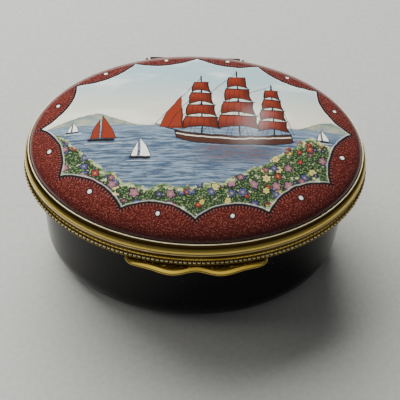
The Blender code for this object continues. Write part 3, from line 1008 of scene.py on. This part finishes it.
def paint_boats(tree, point, under):
    """Small sailing boats further off, most with white sails."""
    colours = bpy.context.scene.box_colours
    sail_group = build_once("sail", build_sail)
    colour = under
    for (left, low), height, cloth in BOATS:
        lines = []
        for breadth, share in ((0.46, 1.0), (-0.30, 0.82)):
            sail = use_group(tree, sail_group, point=point, height=height * share, breadth=breadth * height)
            sail.inputs["Foot"].default_value = (left + math.copysign(0.04, breadth) * height, low, 0)
            colour = lay(tree, colour, take(tree, sail, "Cloth"), getattr(colours, cloth))
            lines.append(take(tree, sail, "Lines"))
        keel = low - 0.07 * height
        lines.append(pen_line(tree, point, (left - 0.36 * height, keel, 0), (left + 0.42 * height, keel, 0),
                              height * 0.12))
        ripple = low - 0.22 * height
        wake = pen_line(tree, point, (left - 0.5 * height, ripple, 0), (left + 0.7 * height, ripple, 0),
                        LINE_WIDTH)
        colour = lay(tree, colour, wake * 0.5, colours.cream)
        colour = lay(tree, colour, strongest(lines), colours.ink_and_shadow)
    return colour


def paint_banks(tree, point, x, y, under):
    """Grassy banks in front, thick with shrubs and flowers to the right."""
    colours = bpy.context.scene.box_colours
    rough = noise(tree, pack(tree, x * 0.35, y * 0.35), 1.0, 4.0, 0.6)
    top = humps(x, BANKS) + rough * 4.5 - 15.0
    depth = top - y
    bank = depth.rising(-0.05, 0.15)
    tint = noise(tree, pack(tree, x * 0.6, y * 1.2), 1.0, 4.0)
    grass = lay(tree, colours.grass, tint.rising(0.40, 0.62), colours.straw)
    grass = lay(tree, grass, tint.near(0.36, 0.05, 0.04) * 0.7, colours.leaf)
    colour = lay(tree, under, bank, grass)
    blades = noise(tree, pack(tree, x * 3.4, y * 0.8), 1.0, 2.0)
    colour = lay(tree, colour, bank * blades.rising(0.60, 0.68) * 0.6, colours.leaf)
    growth = (depth + 0.4).rising(0.0, 1.8) * (1 - depth.rising(7.0, 11.0) * 0.7)
    shrub = noise(tree, pack(tree, x * 0.9 + 7.0, y * 0.9), 1.0, 4.0, 0.7)
    thicket = shrub + growth * 0.33
    shrub_mask = thicket.rising(0.74, 0.80) * growth.rising(0.05, 0.3)
    leaves = noise(tree, pack(tree, x * 3.0, y * 3.0), 1.0, 3.0)
    foliage = lay(tree, colours.leaf, leaves.rising(0.5, 0.6), colours.leaf_light)
    foliage = lay(tree, foliage, leaves.near(0.5, 0.03, 0.02), colours.ink_and_shadow)
    colour = lay(tree, colour, shrub_mask, foliage)
    colour = lay(tree, colour, thicket.near(0.755, 0.02, 0.01) * growth, colours.ink_and_shadow)
    blossoms = build_once("blossoms", build_blossoms)
    for shift, scale, petals, amount, dark, light in FLOWERS:
        moved = vector_node(tree, "ADD", point, (*shift, 0)).outputs[0]
        flowers = use_group(tree, blossoms, point=moved, scale=scale, petals=petals, amount=growth * amount)
        petal = lay(tree, dark, take(tree, flowers, "Pick"), light)
        colour = lay(tree, colour, take(tree, flowers, "Petal"), petal)
        colour = lay(tree, colour, take(tree, flowers, "Middle"), colours.pollen)
        colour = lay(tree, colour, take(tree, flowers, "Outline") * 0.9, colours.ink_and_shadow)
    return colour


def painted_material():
    """The dome's painted enamel: the picture, its scalloped border and the glaze over both."""
    sizes = bpy.context.scene.box_sizes
    material, tree, shader, place = new_material("painted_enamel")
    plan = stretched(tree, place, (1 / MM, 1 / MM, 0))
    waver = add_node(tree, "ShaderNodeTexNoise")
    join(tree, plan, waver.inputs["Vector"])
    waver.inputs["Scale"].default_value = WAVER_SCALE
    stray = vector_node(tree, "SUBTRACT", waver.outputs["Color"], (0.5, 0.5, 0.5)).outputs[0]
    shift = vector_node(tree, "MULTIPLY", stray, (WAVER_REACH, WAVER_REACH, 0)).outputs[0]
    point = vector_node(tree, "ADD", plan, shift).outputs[0]
    x, y = split(tree, point)
    colour = paint_sky(tree, x, y)
    colour = paint_far_shore(tree, x, y, colour)
    colour = paint_sea(tree, x, y, colour)
    colour = paint_boats(tree, point, colour)
    colour = paint_ship(tree, point, x, y, colour)
    colour = paint_banks(tree, point, x, y, colour)
    colour = paint_border(
        tree, point, place, colour, sizes.scallop_depth / MM, sizes.pearl_radius / MM)
    join(tree, colour, shader.inputs["Base Color"])
    glaze = use_group(tree, build_once("glaze", build_glaze), place=place)
    join(tree, take(tree, glaze, "Dust") * 0.2 + PAINT_ROUGHNESS, shader.inputs["Roughness"])
    shader.inputs["IOR"].default_value = PAINT_IOR
    shader.inputs["Specular IOR Level"].default_value = PAINT_GLEAM
    bump(tree, shader, take(tree, glaze, "Ripple"), sizes.glaze_ripple)
    return material


# Pieces

BOWL_WALL = 0.0012
BOWL_FLOOR = 0.0014
FOOT_TURN_IN = 0.0035
FOOT_TURN_HEIGHT = 0.0071
TURN_STEPS = 20
LINING_ROUGHNESS = 0.16


def turned_in(mouth, mouth_level, floor_level, turn_height):
    """A wall's section, from the edge of its floor up to its mouth."""
    section = []
    for number in range(TURN_STEPS + 1):
        angle = QUARTER_TURN * number / TURN_STEPS
        setback = mouth + FOOT_TURN_IN * (1 - math.sin(angle))
        section.append((setback, floor_level + turn_height * (1 - math.cos(angle))))
    section.append((mouth, (mouth_level + floor_level + turn_height) / 2))
    section.append((mouth, mouth_level))
    return section


class TRINKET_OT_bowl(bpy.types.Operator):
    """Model the enamelled bowl, dark outside and pale inside"""
    bl_idname = "trinket.bowl"
    bl_label = "Bowl"

    def execute(self, context):
        colours = context.scene.box_colours
        top = BOWL_HIGH.z
        outside = turned_in(BOWL_SETBACK, top, BOWL_LOW.z, FOOT_TURN_HEIGHT)
        inside = turned_in(BOWL_SETBACK + BOWL_WALL, top, BOWL_FLOOR, FOOT_TURN_HEIGHT - BOWL_FLOOR)
        piece = run_ovals("bowl", outside + inside[::-1])
        close_pole()
        bpy.ops.mesh.select_all(action="DESELECT")
        bpy.ops.mesh.select_non_manifold()
        close_pole()
        outward(piece)
        enamel = enamel_material("aubergine_enamel", colours.bowl, colours.bowl_mottle,
                                 roughness=0.10, gleam=0.10)
        put_material(piece, enamel)
        lining = enamel_material("cream_enamel", colours.lining, colours.lining_mottle, LINING_ROUGHNESS)
        wall_middle = BOWL_SETBACK + BOWL_WALL / 2

        def is_inside(middle, normal):
            """Whether a face is on the inner wall or the floor."""
            share = math.hypot(middle.x / (HALF_LENGTH - wall_middle), middle.y / (HALF_DEPTH - wall_middle))
            faces_in = normal.x * middle.x + normal.y * middle.y < 0
            return share < 1 and middle.z > BOWL_FLOOR / 2 and (faces_in or normal.z > 0.5)

        line_inside(piece, lining, is_inside)
        fit_to_body(piece, "base", "bowl_enamel", "base_bowl")
        return {"FINISHED"}


BASE_MOUNT_TOP = 0.0007
BASE_SKIRT = 0.0009
INNER_SKIRT = 0.0011
INNER_SKIRT_WALL = 0.0006
BEZEL_SETBACK = 0.0035
BEZEL_HEIGHT = 0.0010
BASE_MOULDING_RADIUS = 0.00022
GAP = 0.0003
EDGE_BEVEL = 0.00008
BASE_MOUNT_SHADE = (0.00062, 0.0001)


class TRINKET_OT_base_mount(bpy.types.Operator):
    """Model the gilt mount of the bowl, with the bezel that the lid closes over"""
    bl_idname = "trinket.base_mount"
    bl_label = "Base mount"

    def execute(self, context):
        channel_top = BOWL_HIGH.z + GAP
        bearing = channel_top + BASE_MOUNT_TOP
        bezel_top = bearing + BEZEL_HEIGHT
        skirt_inside = BOWL_SETBACK - GAP
        bowl_inside = BOWL_SETBACK + BOWL_WALL + GAP
        inner_face = bowl_inside + INNER_SKIRT_WALL
        corner = EDGE_BEVEL
        low = channel_top - BASE_SKIRT
        middle = (BASE_MOUNT_SETBACK + BASE_MOULDING_RADIUS, bearing - 2 * BASE_MOULDING_RADIUS)
        section = arc((inner_face - corner, bezel_top - corner), corner, corner, 180, 90, 3)
        section += arc((BEZEL_SETBACK + corner, bezel_top - corner), corner, corner, 90, 0, 3)
        section += arc((BEZEL_SETBACK - corner, bearing + corner), corner, corner, 180, 270, 3)
        section += [(middle[0] + corner, bearing)]
        section += arc(middle, BASE_MOULDING_RADIUS, BASE_MOULDING_RADIUS, 75, -75)
        section += [(skirt_inside - INNER_SKIRT_WALL / 2, low + corner), (skirt_inside - corner, low)]
        section += [(skirt_inside, low + corner), (skirt_inside, channel_top), (bowl_inside, channel_top)]
        section += [(bowl_inside, channel_top - INNER_SKIRT), (inner_face, channel_top - INNER_SKIRT)]
        piece = run_ovals("bowl_mount", section)
        close_loop()
        outward(piece, 50)
        shade_drop, shade_reach = BASE_MOUNT_SHADE
        # Painted shade on the underside of the mount's moulding
        put_material(piece, gilt_material("gilt_of_bowl_mount", [(bearing - shade_drop, shade_reach)]))
        fit_to_body(piece, "base", "gilt", "base_mount")
        return {"FINISHED"}


LIP_SETBACK = 0.00116
LIP_RADIUS = 0.00011
LIP_COVE = 0.00012
LIP_DROP = 0.0010
BAND_WIDTH = 0.0007
BAND_HEIGHT = 0.00097
GROOVE_DEPTH = 0.00013
FILLET_HEIGHT = 0.0002
FILLET_SETBACK = 0.00036
COVE_DEPTH = 0.0001
BEAD_RADIUS = 0.00036
EDGE_HEIGHT = 0.00012
EDGE_SETBACK = 0.00005
LID_WALL = 0.0017
LEDGE_WIDTH = 0.0016
LEDGE_HEIGHT = 0.0018
LEDGE_THICKNESS = 0.0008
COVE_SHADE_DROP = 0.00005
COVE_SHADE_REACH = 0.0004
BEAD_DULLNESS = 0.35
BEAD_GAP_SHARE = 0.16


def lid_mount_section(bead_relief):
    """The lid rim's section, from its lip down the moulded outside, then up the inside."""
    lip = (LIP_SETBACK + LIP_RADIUS, LIP_LEVEL - LIP_RADIUS)
    band_top = LIP_LEVEL - LIP_DROP
    band_low = band_top - BAND_HEIGHT
    bead = (BEAD_RADIUS, LID_LEVEL + EDGE_HEIGHT + BEAD_RADIUS)
    core = BEAD_RADIUS - bead_relief
    fillet = band_low - FILLET_HEIGHT
    cove = (FILLET_SETBACK, (fillet - FILLET_HEIGHT / 2 + bead[1] + core) / 2)
    cove_half = (fillet - FILLET_HEIGHT - bead[1] - core) / 2
    section = arc(lip, LIP_RADIUS, LIP_RADIUS, 180, 0, 6)
    cove_middle = (LIP_SETBACK, (lip[1] + band_top) / 2)
    section += arc(cove_middle, -LIP_COVE, (lip[1] - band_top) / 2, 60, -60, 6)
    section += arc((LIP_SETBACK, band_low), BAND_WIDTH, BAND_HEIGHT, 84, 4)
    groove = LIP_SETBACK - BAND_WIDTH + GROOVE_DEPTH
    section += [(groove, band_low - FILLET_HEIGHT * 0.1), (groove, fillet + FILLET_HEIGHT * 0.35)]
    section += arc((FILLET_SETBACK + FILLET_HEIGHT / 2, fillet - FILLET_HEIGHT / 3),
                   FILLET_HEIGHT / 2, FILLET_HEIGHT / 2, 80, -60, 4)
    section += arc((cove[0] + COVE_DEPTH, cove[1]), -COVE_DEPTH, cove_half, 60, -60, 5)
    section += arc(bead, core, core, 78, -78)
    section += [(EDGE_SETBACK + GROOVE_DEPTH, LID_LEVEL + EDGE_HEIGHT)]
    edge = EDGE_HEIGHT / 2
    section += arc((EDGE_SETBACK + edge, LID_LEVEL + edge), edge, edge, 80, -90, 6)
    wall = EDGE_SETBACK + LID_WALL
    ledge_top = LID_LEVEL + LEDGE_HEIGHT + LEDGE_THICKNESS
    ledge_low = LID_LEVEL + LEDGE_HEIGHT
    section += [(wall - EDGE_BEVEL, LID_LEVEL), (wall, LID_LEVEL + EDGE_BEVEL)]
    section += [(wall, ledge_low - EDGE_BEVEL), (wall + EDGE_BEVEL, ledge_low)]
    ledge = (wall + LEDGE_WIDTH - EDGE_BEVEL, ledge_low + EDGE_BEVEL)
    section += arc(ledge, -EDGE_BEVEL, EDGE_BEVEL, -90, 0, 3)
    section += arc((ledge[0], ledge_top - EDGE_BEVEL), -EDGE_BEVEL, EDGE_BEVEL, 0, 90, 3)
    section += [(LIP_SETBACK + 2 * LIP_RADIUS, ledge_top)]
    return section


def mill_beads(count, relief):
    """The ribs of the milled edge: one is modelled, arrayed, and bent round the oval."""
    depth = relief * 2
    half_length = HALF_LENGTH - depth
    half_depth = HALF_DEPTH - depth
    deselect_all()
    bpy.ops.curve.primitive_bezier_circle_add(radius=1)
    guide = bpy.context.object
    guide.data.resolution_u = 64
    bpy.ops.object.mode_set(mode="EDIT")
    bpy.ops.curve.select_all(action="SELECT")
    bpy.ops.curve.handle_type_set(type="FREE_ALIGN")
    bpy.ops.transform.resize(value=(half_length, half_depth, 1))
    bpy.ops.object.mode_set(mode="OBJECT")
    pitch = guide.data.splines[0].calc_length() / count
    deselect_all()
    bpy.ops.mesh.primitive_uv_sphere_add(segments=10, ring_count=8, radius=1)
    beads = bpy.context.object
    beads.name = "milled_beads"
    bpy.ops.object.mode_set(mode="EDIT")
    bpy.ops.mesh.select_all(action="SELECT")
    bpy.ops.transform.resize(value=(pitch * (1 - BEAD_GAP_SHARE) / 2, depth, BEAD_RADIUS * 0.9))
    bpy.ops.transform.translate(value=(pitch / 2, 0, 0))
    bpy.ops.object.mode_set(mode="OBJECT")
    bpy.ops.object.shade_smooth()
    apply_modifier(beads, "ARRAY", fit_type="FIXED_COUNT", count=count, use_relative_offset=False,
                   use_constant_offset=True, constant_offset_displace=(pitch, 0, 0))
    apply_modifier(beads, "CURVE", object=guide, deform_axis="POS_X")
    bpy.ops.object.mode_set(mode="EDIT")
    bpy.ops.mesh.select_all(action="SELECT")
    bpy.ops.transform.translate(value=(0, 0, LID_LEVEL + EDGE_HEIGHT + BEAD_RADIUS))
    bpy.ops.object.mode_set(mode="OBJECT")
    bpy.data.objects.remove(guide)
    return beads


class TRINKET_OT_lid_mount(bpy.types.Operator):
    """Model the moulded gilt rim of the lid and mill the ribs round its edge"""
    bl_idname = "trinket.lid_mount"
    bl_label = "Lid mount"

    def execute(self, context):
        sizes = context.scene.box_sizes
        piece = run_ovals("lid_rim", lid_mount_section(sizes.bead_relief))
        close_loop()
        outward(piece, 50)
        beads = mill_beads(sizes.bead_count, sizes.bead_relief)
        cove = LIP_LEVEL - LIP_DROP - BAND_HEIGHT - FILLET_HEIGHT
        bead_middle = LID_LEVEL + EDGE_HEIGHT + BEAD_RADIUS
        cove_middle = (cove + bead_middle + BEAD_RADIUS) / 2
        # Painted shade in the cove above the beads, under the lip, behind the beads and in the groove;
        # painted highlight on the lip and the fillet
        recesses = [(cove_middle - COVE_SHADE_DROP, COVE_SHADE_REACH),
                    (LIP_LEVEL - LIP_DROP * 0.66, LIP_DROP * 0.45),
                    (bead_middle, BEAD_RADIUS),
                    (cove + FILLET_HEIGHT * 1.1, FILLET_HEIGHT * 0.5)]
        edges = [(LIP_LEVEL, LIP_RADIUS * 1.7), (cove + FILLET_HEIGHT * 0.1, FILLET_HEIGHT * 0.15)]
        put_material(piece, gilt_material("gilt_of_lid_mount", recesses, edges=edges))
        # Painted shade on the lower half of each bead and a painted highlight along their tops
        bead_shade = [(bead_middle - BEAD_RADIUS * 0.6, BEAD_RADIUS * 0.5)]
        bead_highlight = [(bead_middle + BEAD_RADIUS * 0.3, BEAD_RADIUS * 0.25)]
        put_material(beads, gilt_material("gilt_of_beads", bead_shade, BEAD_DULLNESS, bead_highlight))
        deselect_all()
        beads.select_set(True)
        piece.select_set(True)
        context.view_layer.objects.active = piece
        bpy.ops.object.join()
        fit_to_body(piece, "lid", "gilt", "lid_mount")
        return {"FINISHED"}


DOME_EDGE_REACH = 0.0002
DOME_WALL = 0.0012
DOME_FULLNESS = 2.4
DOME_SEAT_DROP = 0.0004
DOME_STEPS = 44
DOME_EASE = 0.8
POLE_SHARE = 0.04
LAST_RISE = 0.9


def dome_rings(rise):
    """(stretch, height) of the dome's rings, from its edge to near its crown."""
    seat = LIP_LEVEL - DOME_SEAT_DROP
    rings = [(1.0, DOME_LOW.z)]
    for number in range(DOME_STEPS + 1):
        angle = QUARTER_TURN * (number / DOME_STEPS) ** DOME_EASE
        stretch = max(math.cos(angle), 0) ** (2 / DOME_FULLNESS)
        if stretch > POLE_SHARE:
            rings.append((stretch, seat + rise * math.sin(angle) ** (2 / DOME_FULLNESS)))
    return rings


def skin_dome(rise):
    """Extrude one skin of the dome from the loop that is selected at its edge, and close its crown."""
    rings = dome_rings(rise)
    for before, after in zip(rings, rings[1:]):
        stretch = after[0] / before[0]
        next_ring(stretch, stretch, after[1] - before[1])
    left_to_rise = LIP_LEVEL - DOME_SEAT_DROP + rise - rings[-1][1]
    next_ring(0.5, 0.5, left_to_rise * LAST_RISE)
    bpy.ops.mesh.extrude_edges_move()
    bpy.ops.mesh.merge(type="CENTER")
    bpy.ops.transform.translate(value=(0, 0, left_to_rise * (1 - LAST_RISE)))


class TRINKET_OT_dome(bpy.types.Operator):
    """Model the enamelled dome of the lid, painted outside and pale inside"""
    bl_idname = "trinket.dome"
    bl_label = "Dome"

    def execute(self, context):
        colours = context.scene.box_colours
        rise = DOME_HIGH.z - (LIP_LEVEL - DOME_SEAT_DROP)
        setback = DOME_SETBACK - DOME_EDGE_REACH  # the glaze closes the solids' gap to the lip
        piece = start_oval("painted_dome", setback, DOME_LOW.z)
        skin_dome(rise)
        inner = DOME_SETBACK + DOME_WALL
        bpy.ops.mesh.select_all(action="DESELECT")
        bpy.ops.mesh.select_non_manifold()
        stretch_x = (HALF_LENGTH - inner) / (HALF_LENGTH - setback)
        stretch_y = (HALF_DEPTH - inner) / (HALF_DEPTH - setback)
        next_ring(stretch_x, stretch_y, 0)
        skin_dome(rise - DOME_WALL)
        outward(piece)
        put_material(piece, painted_material())
        lining = enamel_material("cream_dome_lining", colours.lining, colours.lining_mottle, LINING_ROUGHNESS)
        line_inside(piece, lining, lambda middle, normal: normal.z < -0.02)
        fit_to_body(piece, "lid", "dome_enamel", "lid_dome")
        return {"FINISHED"}


class TRINKET_OT_thumbpiece(bpy.types.Operator):
    """Refine the wavy lip at the front of the lid"""
    bl_idname = "trinket.thumbpiece"
    bl_label = "Thumbpiece"

    def execute(self, context):
        piece = copy_of_solid("thumbpiece")
        bpy.ops.mesh.tris_convert_to_quads(face_threshold=math.radians(60), shape_threshold=math.radians(60))
        bpy.ops.object.mode_set(mode="OBJECT")
        apply_modifier(piece, "SUBSURF", levels=2, render_levels=2)
        bpy.ops.object.mode_set(mode="EDIT")
        outward(piece, 60)
        put_material(piece, thumbpiece_material())
        fit_to_body(piece, "lid", "gilt", "thumbpiece")
        return {"FINISHED"}


HINGE_BEVEL = 0.00007
# Painted shade: the hinge's gilding is darkened almost to the tarnish colour
HINGE_SHADE = 0.85


class TRINKET_OT_hinge(bpy.types.Operator):
    """Refine the two leaves and the pin of the hinge"""
    bl_idname = "trinket.hinge"
    bl_label = "Hinge"

    def execute(self, context):
        for node, body in (("hinge_base_leaf", "base"), ("hinge_lid_leaf", "lid"), ("hinge_pin", "base")):
            piece = copy_of_solid(node)
            bpy.ops.mesh.dissolve_limited(angle_limit=math.radians(2))
            bpy.ops.object.mode_set(mode="OBJECT")
            apply_modifier(piece, "BEVEL", width=HINGE_BEVEL, segments=2, limit_method="ANGLE",
                           angle_limit=math.radians(40))
            bpy.ops.object.mode_set(mode="EDIT")
            outward(piece, 32)
            put_material(piece, gilt_material("gilt_of_" + node, dullness=HINGE_SHADE))
            fit_to_body(piece, body, "gilt", node)
        return {"FINISHED"}


# Stage

CAMERA_AIM = Vector((0.00103, -0.00382, 0.01757))
CAMERA_AZIMUTH = -3.328
CAMERA_ELEVATION = 52.63
CAMERA_ROLL = 3.581
CAMERA_DISTANCE = 0.1875
CAMERA_LENS = 88.26
SENSOR_WIDTH = 36
FLOOR_SIDE = 2.4
AIR_STRENGTH = 0.18
PAPER_SHADE = 0.93


def direction(azimuth, elevation):
    """The way from the object to a place round it; azimuth 0 is the front."""
    turn = math.radians(azimuth)
    tilt = math.radians(elevation)
    return Vector((math.sin(turn) * math.cos(tilt), -math.cos(turn) * math.cos(tilt), math.sin(tilt)))


def looking(back, roll=0.0):
    """The rotation of a camera or light that looks along the opposite of a direction."""
    across = Vector((0, 0, 1)).cross(back).normalized()
    up = back.cross(across)
    turn = math.radians(roll)
    right = across * math.cos(turn) + up * math.sin(turn)
    top = up * math.cos(turn) - across * math.sin(turn)
    return Matrix((right, top, back)).transposed().to_euler()


def softbox(name, azimuth, elevation, distance, size, power, mirrored=True):
    """A square studio light, aimed at the box. One that isn't mirrored leaves no glare on the gloss."""
    back = direction(azimuth, elevation)
    deselect_all()
    bpy.ops.object.light_add(type="AREA", location=back * distance, rotation=looking(back))
    light = bpy.context.object
    light.name = name
    light.data.size = size
    light.data.energy = power
    light.visible_glossy = mirrored
    return light


def floor_material():
    """Pale matt paper."""
    colours = bpy.context.scene.box_colours
    material, tree, shader, place = new_material("paper")
    grain = noise(tree, place, 900.0, 3.0)
    darker = [share * PAPER_SHADE for share in colours.backdrop]
    join(tree, lay(tree, colours.backdrop, grain.rising(0.35, 0.65), darker), shader.inputs["Base Color"])
    shader.inputs["Roughness"].default_value = 0.75
    bump(tree, shader, grain, 0.00002)
    return material


class TRINKET_OT_stage(bpy.types.Operator):
    """Set the floor, the soft lights and the camera"""
    bl_idname = "trinket.stage"
    bl_label = "Stage"

    def execute(self, context):
        colours = context.scene.box_colours
        softbox_size = context.scene.box_sizes.softbox_size
        deselect_all()
        bpy.ops.mesh.primitive_plane_add(size=FLOOR_SIDE, location=(0, 0, 0))
        floor = context.object
        floor.name = "studio_floor"
        put_material(floor, floor_material())
        softbox("key_light", azimuth=-152, elevation=50, distance=0.46, size=softbox_size * 0.9,
                power=6.0, mirrored=False)
        softbox("side_light", azimuth=-95, elevation=30, distance=0.60, size=softbox_size * 0.5,
                power=1.0, mirrored=False)
        strip = softbox("strip_light", azimuth=166.4, elevation=48.4, distance=0.60,
                        size=softbox_size * 0.08, power=0.12)
        strip.data.shape = "RECTANGLE"
        strip.data.size_y = softbox_size * 0.22
        world = bpy.data.worlds.new("studio")
        context.scene.world = world
        world.use_nodes = True
        background = world.node_tree.nodes["Background"]
        background.inputs["Color"].default_value = (*colours.air, 1)
        background.inputs["Strength"].default_value = AIR_STRENGTH
        back = direction(CAMERA_AZIMUTH, CAMERA_ELEVATION)
        place = CAMERA_AIM + back * CAMERA_DISTANCE
        bpy.ops.object.camera_add(location=place, rotation=looking(back, CAMERA_ROLL))
        camera = context.object
        camera.name = "photo_camera"
        camera.data.lens = CAMERA_LENS
        camera.data.sensor_width = SENSOR_WIDTH
        camera.data.sensor_fit = "HORIZONTAL"
        camera.data.clip_start = 0.01
        camera.data.dof.use_dof = False
        context.scene.camera = camera
        return {"FINISHED"}


class TRINKET_PT_panel(bpy.types.Panel):
    """Lists the sizes, the colours and the pieces of the box"""
    bl_label = "Trinket Box"
    bl_idname = "TRINKET_PT_panel"
    bl_space_type = "VIEW_3D"
    bl_region_type = "UI"
    bl_category = "Trinket Box"

    def draw(self, context):
        for group in (context.scene.box_sizes, context.scene.box_colours):
            column = self.layout.column()
            for key in group.__annotations__:
                column.prop(group, key)
        for operator in OPERATORS:
            self.layout.operator(operator.bl_idname)


OPERATORS = (TRINKET_OT_bowl, TRINKET_OT_base_mount, TRINKET_OT_lid_mount, TRINKET_OT_dome,
             TRINKET_OT_thumbpiece, TRINKET_OT_hinge, TRINKET_OT_stage)
CLASSES = (BoxSizes, BoxColours, *OPERATORS, TRINKET_PT_panel)


def register():
    """Add the operators, the panel and the properties to Blender."""
    for item in CLASSES:
        bpy.utils.register_class(item)
    bpy.types.Scene.box_sizes = bpy.props.PointerProperty(type=BoxSizes)
    bpy.types.Scene.box_colours = bpy.props.PointerProperty(type=BoxColours)


def unregister():
    """Take them out again."""
    del bpy.types.Scene.box_colours
    del bpy.types.Scene.box_sizes
    for item in reversed(CLASSES):
        bpy.utils.unregister_class(item)


def main():
    """Build the box and its stage."""
    register()
    bpy.ops.trinket.bowl()
    bpy.ops.trinket.base_mount()
    bpy.ops.trinket.lid_mount()
    bpy.ops.trinket.dome()
    bpy.ops.trinket.thumbpiece()
    bpy.ops.trinket.hinge()
    bpy.ops.trinket.stage()


if __name__ == "__main__":
    main()
